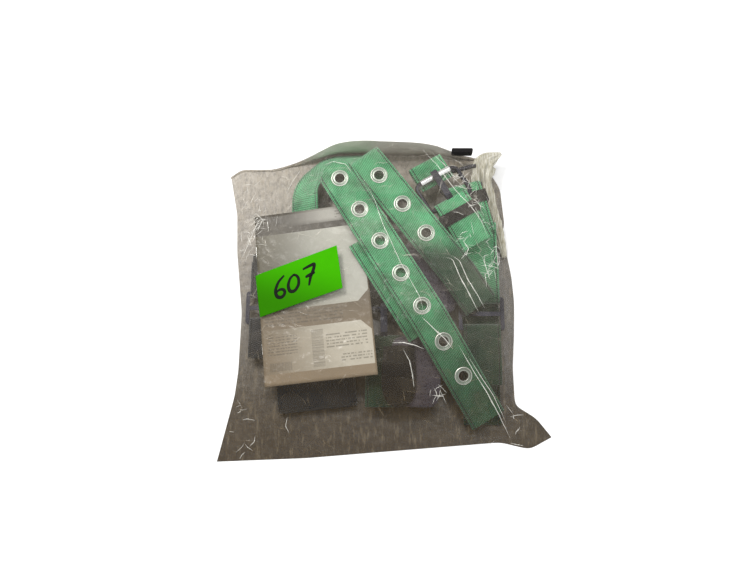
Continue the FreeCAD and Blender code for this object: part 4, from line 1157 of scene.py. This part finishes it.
wisps = backing.noise(spot, 46.0, 6.0, 0.7, stretch=(4.5, 0.9, 1.0))
brown = backing.mix(backing.times(backing.ramp(wisps, 0.53, 0.63), 0.35), brown, tone(128, 114, 90))
# Painted light: the wall that climbs at the mouth is made pale.
brown = backing.mix(backing.ramp(z_axis, 0.002, 0.018), brown, tone(206, 202, 192))
backing.set("Base Color", brown)
backing.set("Normal", backing.bump(backing.noise(spot, 90.0, 6.0), 0.0012, 0.5))
dress(back, backing.material)
print("film dressed")

# %% [markdown]
# The booklet is a stapled cover folded round its pages. It bows a little, because the film
# presses its edges down. Its front is printed: a grey ground, two white panels with cut corners,
# grey rules for text, and a block of bars, all generic. Painted shade darkens the ground towards
# the top and the panels towards the left, and painted light brightens the header towards its
# right. The print is arithmetic on the UV map.

# %% Booklet
BOOK_CENTRE, BOOK_TURN, BOOK_LEAN = (-81.8, 3.8, 36.5), math.radians(5.5), math.radians(6.6)
BOOK_WIDE, BOOK_LONG, PAGES = 131.0, 208.0, 2.4


def on_booklet(x, y, z):
    """Turns booklet coordinates into the pack's: leant about its long axis, then turned in plan."""
    leant_x = x * math.cos(BOOK_LEAN) - z * math.sin(BOOK_LEAN)
    leant_z = x * math.sin(BOOK_LEAN) + z * math.cos(BOOK_LEAN)
    return np.stack(
        [
            BOOK_CENTRE[0] + leant_x * math.cos(BOOK_TURN) - y * math.sin(BOOK_TURN),
            BOOK_CENTRE[1] + leant_x * math.sin(BOOK_TURN) + y * math.cos(BOOK_TURN),
            BOOK_CENTRE[2] + leant_z,
        ],
        -1,
    )


def bow(x, y):
    """How the booklet bows: its corners dip and its face waves a little."""
    return 0.5 * noise2(x / 55 + 2, y / 70 + 4, 51) - 0.6 * (np.abs(y) / (BOOK_LONG / 2)) ** 3


def sheet_of_paper(name, wide, long, low, high, inset=0.0, rows=60, columns=40):
    """A thin closed block that follows the bow."""
    u, v = np.linspace(-1, 1, columns), np.linspace(-1, 1, rows)
    x, y = np.meshgrid(u * wide / 2 + inset, v * long / 2, indexing="xy")
    over, under = (np.stack([x, y, bow(x, y) + level], -1) for level in (high, low))
    ring = np.concatenate([over, under[::-1]])
    piece_points = on_booklet(ring[..., 0], ring[..., 1], ring[..., 2])
    rows_all = len(ring)
    quads = grid_quads(rows_all, columns).tolist()
    last = (rows_all - 1) * columns
    quads += [[last + j, j, j + 1, last + j + 1] for j in range(columns - 1)]
    uv = np.stack([ring[..., 0] / 100, ring[..., 1] / 100], -1)
    piece = mesh_from(name, piece_points * MM, quads, uv)
    face_outwards(piece, close=True)
    return piece


half_pages = PAGES / 2
cover = join(
    "booklet_printed_cover",
    [
        sheet_of_paper("cover_top", BOOK_WIDE, BOOK_LONG, half_pages + 0.1, half_pages + 0.5),
        sheet_of_paper("cover_under", BOOK_WIDE, BOOK_LONG, -half_pages - 0.5, -half_pages - 0.1),
        sheet_of_paper(
            "cover_spine", 0.5, BOOK_LONG, -half_pages - 0.45, half_pages + 0.45, -BOOK_WIDE / 2 + 0.25, 60, 3
        ),
    ],
)
leaves = join(
    "booklet_leaves",
    [
        sheet_of_paper(
            f"leaf{i}", BOOK_WIDE - 2.4 - 0.5 * (i % 2), BOOK_LONG - 1.4, -1.15 + i * 0.385, -0.83 + i * 0.385
        )
        for i in range(6)
    ],
)
for piece, node, slot in ((cover, "booklet_cover", "cover_paper"), (leaves, "booklet_pages", "page_paper")):
    stands_for(piece, node)

# %% Booklet print


def cut_panel(graph, x, y, centre, half, cut, corners):
    """1 inside a rectangle whose named corners are cut off at 45 degrees. All in millimetres."""
    dx, dy = graph.minus(x, centre[0]), graph.minus(y, centre[1])
    narrow = graph.math("LESS_THAN", graph.unsigned(dx), half[0])
    inside = graph.times(narrow, graph.math("LESS_THAN", graph.unsigned(dy), half[1]))
    for sx, sy in corners:
        slant = graph.plus(graph.times(dx, float(sx)), graph.times(dy, float(sy)))
        inside = graph.times(inside, graph.math("LESS_THAN", slant, half[0] + half[1] - cut))
    return inside


def greeked(graph, x, y, centre, half, pitch, seed):
    """Grey rules that stand for text: rows at a pitch, broken into words of uneven length by noise."""
    area = cut_panel(graph, x, y, centre, half, 0.0, ())
    line = graph.math("FRACT", graph.math("DIVIDE", graph.minus(y, centre[1] - half[1]), pitch))
    row = graph.math("FLOOR", graph.math("DIVIDE", y, pitch))
    words = graph.add("TexNoise", noise_dimensions="2D")
    spot = graph.add("CombineXYZ", graph.times(x, 0.42), graph.times(row, 7.3 + seed), 0.0)
    graph.feed(words.inputs["Vector"], spot.outputs[0])
    words.inputs["Scale"].default_value = 1.0
    words.inputs["Detail"].default_value = 1.0
    broken = graph.math("GREATER_THAN", words.outputs[0], 0.46)
    inked = graph.times(graph.math("GREATER_THAN", line, 0.55), broken)
    return graph.times(area, inked)


def bars(graph, x, y, centre, half, upright, fine):
    """A block of plain bars of uneven width, which stands for a shop code and encodes nothing."""
    area = cut_panel(graph, x, y, centre, half, 0.0, ())
    across = x if upright else y
    strip = graph.add("TexNoise", noise_dimensions="1D")
    graph.feed(strip.inputs["W"], graph.times(across, fine))
    strip.inputs["Scale"].default_value = 1.0
    strip.inputs["Detail"].default_value = 0.0
    return graph.times(area, graph.math("GREATER_THAN", strip.outputs[0], 0.5))


printed = Graph(
    "printed grey cover", Roughness=0.5, Specular_IOR_Level=0.25, Coat_Weight=0.08, Coat_Roughness=0.3
)
print_x, print_y, _ = printed.split(printed.place("UV"))
print_x, print_y = printed.times(print_x, 100.0), printed.times(print_y, 100.0)
# Painted shade: the brown-grey printed ground darkens towards the booklet's top.
rise = printed.ramp(print_y, -104.0, 60.0)
ground = printed.mix(rise, tone(132, 116, 94), tone(52, 46, 38))
header = cut_panel(printed, print_x, print_y, (14, 96), (52, 10), 0, ())
# Painted light: the header brightens towards its right and its top.
fade = printed.ramp(print_y, 82.0, 92.0)
painted_header_light = printed.times(printed.ramp(print_x, -40.0, 50.0), fade)
ground = printed.mix(printed.times(header, painted_header_light), ground, tone(166, 163, 154))
upper = cut_panel(printed, print_x, print_y, (-1, 31), (65, 47), 13, ((1, 1), (1, -1)))
lower = cut_panel(printed, print_x, print_y, (-1, -65), (65, 26), 12, ((1, 1),))
paper = printed.most(upper, lower)
# Painted shade: both panels darken towards the left, the upper one most.
side_shade_share = printed.ramp(print_x, -70.0, 40.0)
low_panel = printed.mix(side_shade_share, tone(120, 106, 86), tone(184, 177, 161))
high_panel = printed.mix(side_shade_share, tone(70, 65, 50), tone(164, 163, 153))
panel = printed.mix(printed.ramp(print_y, -60.0, 0.0), low_panel, high_panel)
ground = printed.mix(paper, ground, panel)
ink = greeked(printed, print_x, print_y, (-14, -28), (46, 8), 4.0, 1)
for block in (
    ((-42, -58), (18, 13), 3.4, 2), ((34, -60), (24, 9), 3.6, 3), ((46, 94), (14, 6), 3.6, 5),
    ((-30, -2), (30, 6), 3.4, 6), ((44, -80), (18, 6), 3.4, 7),
):  # fmt: skip
    ink = printed.most(ink, greeked(printed, print_x, print_y, *block))
ink = printed.most(ink, bars(printed, print_x, print_y, (0, -66), (7, 22), False, 1.9))
ink = printed.most(ink, bars(printed, print_x, print_y, (-45, -83), (13, 5), True, 1.6))
ground = printed.mix(printed.times(ink, 0.5), ground, tone(58, 54, 48))
fibre = printed.noise(printed.place(), 220.0, 5.0)
ground = printed.mix(printed.times(printed.ramp(fibre, 0.4, 0.8), 0.12), ground, tone(120, 114, 100))
printed.set("Base Color", ground)
printed.set("Normal", printed.bump(fibre, 0.0001, 0.5))
dress(cover, printed.material)

leaf_paper = Graph("uncoated leaf paper", Roughness=0.85)
leaf_fibre = leaf_paper.noise(leaf_paper.place(), 400.0, 4.0, stretch=(1, 1, 6))
leaf_paper.set("Base Color", leaf_paper.mix(leaf_fibre, tone(206, 200, 186), tone(238, 234, 224)))
leaf_paper.set("Normal", leaf_paper.bump(leaf_fibre, 0.0001, 0.6))
dress(leaves, leaf_paper.material)
print("booklet printed")

# %% [markdown]
# The lot label is stuck on the outside of the bag, so it takes the film's own shape: the same
# height rule, smoothed, plus a hair. A warehouse clerk wrote figures on it with a marker. They
# are generic figures, made as ribbons that follow given curves, wider in the middle of a
# stroke than at its ends, and they lie on the label as ink would.

# %% Lot label
LABEL_CENTRE, LABEL_TURN = (-100.0, 16.0), math.radians(17.5)
LABEL_LEAN = 0.16  # how far the film's slope slides the label's upper edge back, for each unit of its width
LABEL_WIDE, LABEL_LONG = 101.6, 50.8


def blurred(field, rounds):
    for _ in range(rounds):
        field = (neighbour_sum(field) + 4 * field) / 8
    return field


label_base = blurred(tent, 60)


def on_label(x, y, lift):
    """Label coordinates to the pack's, at the film's smoothed height plus a lift."""
    x = x + LABEL_LEAN * y
    wx = LABEL_CENTRE[0] + x * math.cos(LABEL_TURN) - y * math.sin(LABEL_TURN)
    wy = LABEL_CENTRE[1] + x * math.sin(LABEL_TURN) + y * math.cos(LABEL_TURN)
    wz = sample(label_base, wx, wy) + 0.45 * noise2(wx / 24, wy / 24, 63) + lift
    return np.stack([wx, wy, wz], -1)


LABEL_LIFT = 2.6
label_x, label_y = np.meshgrid(np.linspace(-1, 1, 90), np.linspace(-1, 1, 50))
label_x, label_y = label_x * LABEL_WIDE / 2, label_y * LABEL_LONG / 2
label = mesh_from(
    "lot_label_sticker", on_label(label_x, label_y, LABEL_LIFT) * MM, grid_quads(50, 90)[:, ::-1].tolist(),
    np.stack([label_x / 100, label_y / 100], -1),
)  # fmt: skip
thicken = label.modifiers.new("paper", "SOLIDIFY")
thicken.thickness = 0.2 * MM
thicken.offset = 1.0
apply_modifiers(label)

# Each stroke is the points of one pull of the pen, in label millimetres.
STROKES = [
    [(-16, 13), (-24, 8), (-29, -1), (-28, -9), (-22, -12), (-17, -8), (-18, -3), (-24, -1), (-28, -4)],
    [(-3, 10), (-9, 8), (-13, 0), (-12, -8), (-6, -10), (0, -4), (1, 4), (-2, 9), (-6, 10)],
    [(7, 12), (13, 13), (22, 14), (20, 8), (15, 0), (12, -9)],
    [(9, 2), (15, 3), (21, 4)],
]


def marker(points, width=4.0):
    """A ribbon along a smooth curve through the points: half its width either side, narrower at both ends."""
    line = eased(points, 70, 7)
    side = sideways(line)
    share = np.linspace(0, 1, 70)
    half = width / 2 * (0.45 + 0.55 * np.sqrt(np.clip(np.sin(np.pi * np.clip(share, 0.02, 0.98)), 0, 1)))
    rows = line[:, None] + side[:, None] * (half[:, None, None] * np.linspace(1, -1, 5)[None, :, None])
    return on_label(rows[..., 0], rows[..., 1], LABEL_LIFT + 0.24)


ink_strokes = []
for number, stroke in enumerate(STROKES):
    ribbon = mesh_from(f"stroke{number}", marker(stroke) * MM, grid_quads(70, 5).tolist())
    solid = ribbon.modifiers.new("ink", "SOLIDIFY")
    solid.thickness = 0.06 * MM
    solid.offset = 1.0
    apply_modifiers(ribbon)
    face_outwards(ribbon)
    ink_strokes.append(ribbon)
strokes = join("lot_label_marker", ink_strokes)

neon = Graph("fluorescent green label", Roughness=0.7, Specular_IOR_Level=0.03, Emission_Strength=0.02)
neon_x, neon_y, _ = neon.split(neon.place("UV"))
# Painted shade: the label darkens towards its lower left and lightens towards its upper right.
label_light_share = neon.plus(neon_y, neon.times(neon_x, 0.6))
label_painted_shade = neon.mix(neon.ramp(label_light_share, -0.4, 0.35), tone(40, 104, 0), tone(58, 160, 0))
grain = neon.noise(neon.place(), 120.0, 5.0)
neon.set("Base Color", neon.mix(neon.times(grain, 0.3), label_painted_shade, tone(40, 124, 0)))
# Painted glow: the faint emission stands for the label's fluorescence.
neon.shader.inputs["Emission Color"].default_value = tone(60, 220, 0)
neon.set("Normal", neon.bump(grain, 0.0001, 0.5))
dress(label, neon.material)
marker_ink = Graph("marker ink", Roughness=0.6, Specular_IOR_Level=0.1)
ink_grain = marker_ink.noise(marker_ink.place(), 700.0, 3.0)
marker_ink.set("Base Color", marker_ink.mix(ink_grain, tone(5, 7, 4), tone(16, 22, 12)))
dress(strokes, marker_ink.material)
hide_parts("lot_label")
for piece in (label, strokes):
    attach(piece, "pack")
print("label made")

# %% [markdown]
# At the bag's mouth the film is gathered and twisted. A twist is a tube whose outline is
# pleated: the radius swells and shrinks several times round, and the pleats wind along it. It
# fans out at its loose end.

# %% Gathered neck


def gathered(name, route, radii, pleats, twist, seed):
    """A pleated tube along a route. Radius: local radius x (1 + pleat wave + noise), wound by twist turns."""
    route = smooth_run(route, 110, 400, 30)
    ahead = np.gradient(route, axis=0)
    ahead /= np.linalg.norm(ahead, axis=1, keepdims=True)
    side = np.cross(ahead, [0.0, 0.0, 1.0])
    side /= np.linalg.norm(side, axis=1, keepdims=True)
    up = np.cross(side, ahead)
    share = np.linspace(0, 1, len(route))
    angle = np.linspace(0, 2 * np.pi, 96, endpoint=False)
    size = np.interp(share, np.linspace(0, 1, len(radii)), radii)
    wave = 0.16 * np.cos(pleats * (angle[None] + twist * 2 * np.pi * share[:, None]))
    rough = 0.34 * noise2(angle[None] * 2.2 + share[:, None] * 3, share[:, None] * 9 + angle[None] * 0, seed)
    reach = size[:, None] * (1 + wave + rough)
    spoke = np.cos(angle)[None, :, None] * side[:, None] + 0.8 * np.sin(angle)[None, :, None] * up[:, None]
    points = route[:, None] + reach[..., None] * spoke
    points[..., 2] = np.maximum(points[..., 2], 0.4)
    quads = grid_quads(len(route), len(angle), wrap=True).tolist()
    quads += [list(range(len(angle))), list(range((len(route) - 1) * len(angle), len(route) * len(angle)))]
    piece = mesh_from(name, points * MM, quads)
    face_outwards(piece)
    return piece


neck = gathered(
    "bag_twisted_neck",
    [(148, 58, 5), (139, 96, 9), (127, 128, 15), (120, 156, 22), (125, 177, 24), (146, 189, 20)],
    [2.5, 6.0, 8.0, 10.5, 13.0, 2.0], 9, 0.12, 12,
)  # fmt: skip
neck_film = Graph("gathered film", Roughness=0.28, Specular_IOR_Level=0.7, Coat_Weight=0.3, Alpha=0.66)
neck_place = neck_film.place()
neck_streak = neck_film.noise(neck_place, 120.0, 5.0, 0.6, stretch=(4, 0.7, 1))
neck_colour = neck_film.mix(neck_film.ramp(neck_streak, 0.35, 0.7), tone(158, 152, 128), tone(216, 213, 198))
neck_film.set("Base Color", neck_colour)
neck_film.set("Normal", neck_film.bump(neck_streak, 0.0015, 0.7))
dress(neck, neck_film.material)
stands_for(neck, "bag_gathered_neck")
print("neck made")

# %% [markdown]
# The stage is a pale floor under soft light: one broad lamp up to the left, where it skims the
# film, a weaker one from the right, a long strip above the mouth, and an even sky. Broad lamps
# give soft shadows, and their reflections play over the crumpled film, whose crease lines are painted
# highlights.

# %% Floor and light
floor_u, floor_v = np.meshgrid(np.linspace(-3, 3, 2), np.linspace(-3, 3, 2))
floor_points = np.stack([floor_u, floor_v, floor_u * 0], -1)
floor_plane = mesh_from("floor", floor_points, grid_quads(2, 2)[:, ::-1].tolist())
plain = Graph("pale floor", Roughness=0.9, Base_Color=(0.9, 0.9, 0.9, 1))
dress(floor_plane, plain.material)


def lamp(name, place, size, power, colour):
    data = bpy.data.lights.new(name, "AREA")
    data.shape = "RECTANGLE"
    data.size, data.size_y = size
    data.energy = power
    data.color = colour
    thing = new_object(name, data)
    thing.location = place
    direction = np.array(place) - TARGET
    flat = math.hypot(direction[0], direction[1])
    thing.rotation_euler = (math.atan2(flat, direction[2]), 0, math.atan2(direction[0], -direction[1]))
    return thing


lamp("window", (-0.7, 0.8, 1.5), (0.5, 0.4), 20.0, (1.0, 0.98, 0.95))
lamp("fill", (1.3, -0.5, 1.2), (1.2, 1.2), 6.0, (0.96, 0.98, 1.0))
lamp("strip", (0.15, 0.5, 1.6), (0.7, 0.08), 7.0, (1.0, 1.0, 1.0))
world = bpy.data.worlds.new("sky")
bpy.context.scene.world = world
world.use_nodes = True
world.node_tree.nodes["Background"].inputs[0].default_value = (1.0, 1.0, 1.0, 1)
world.node_tree.nodes["Background"].inputs[1].default_value = 0.75
bpy.context.scene.view_settings.view_transform = "Standard"
print("lights set")
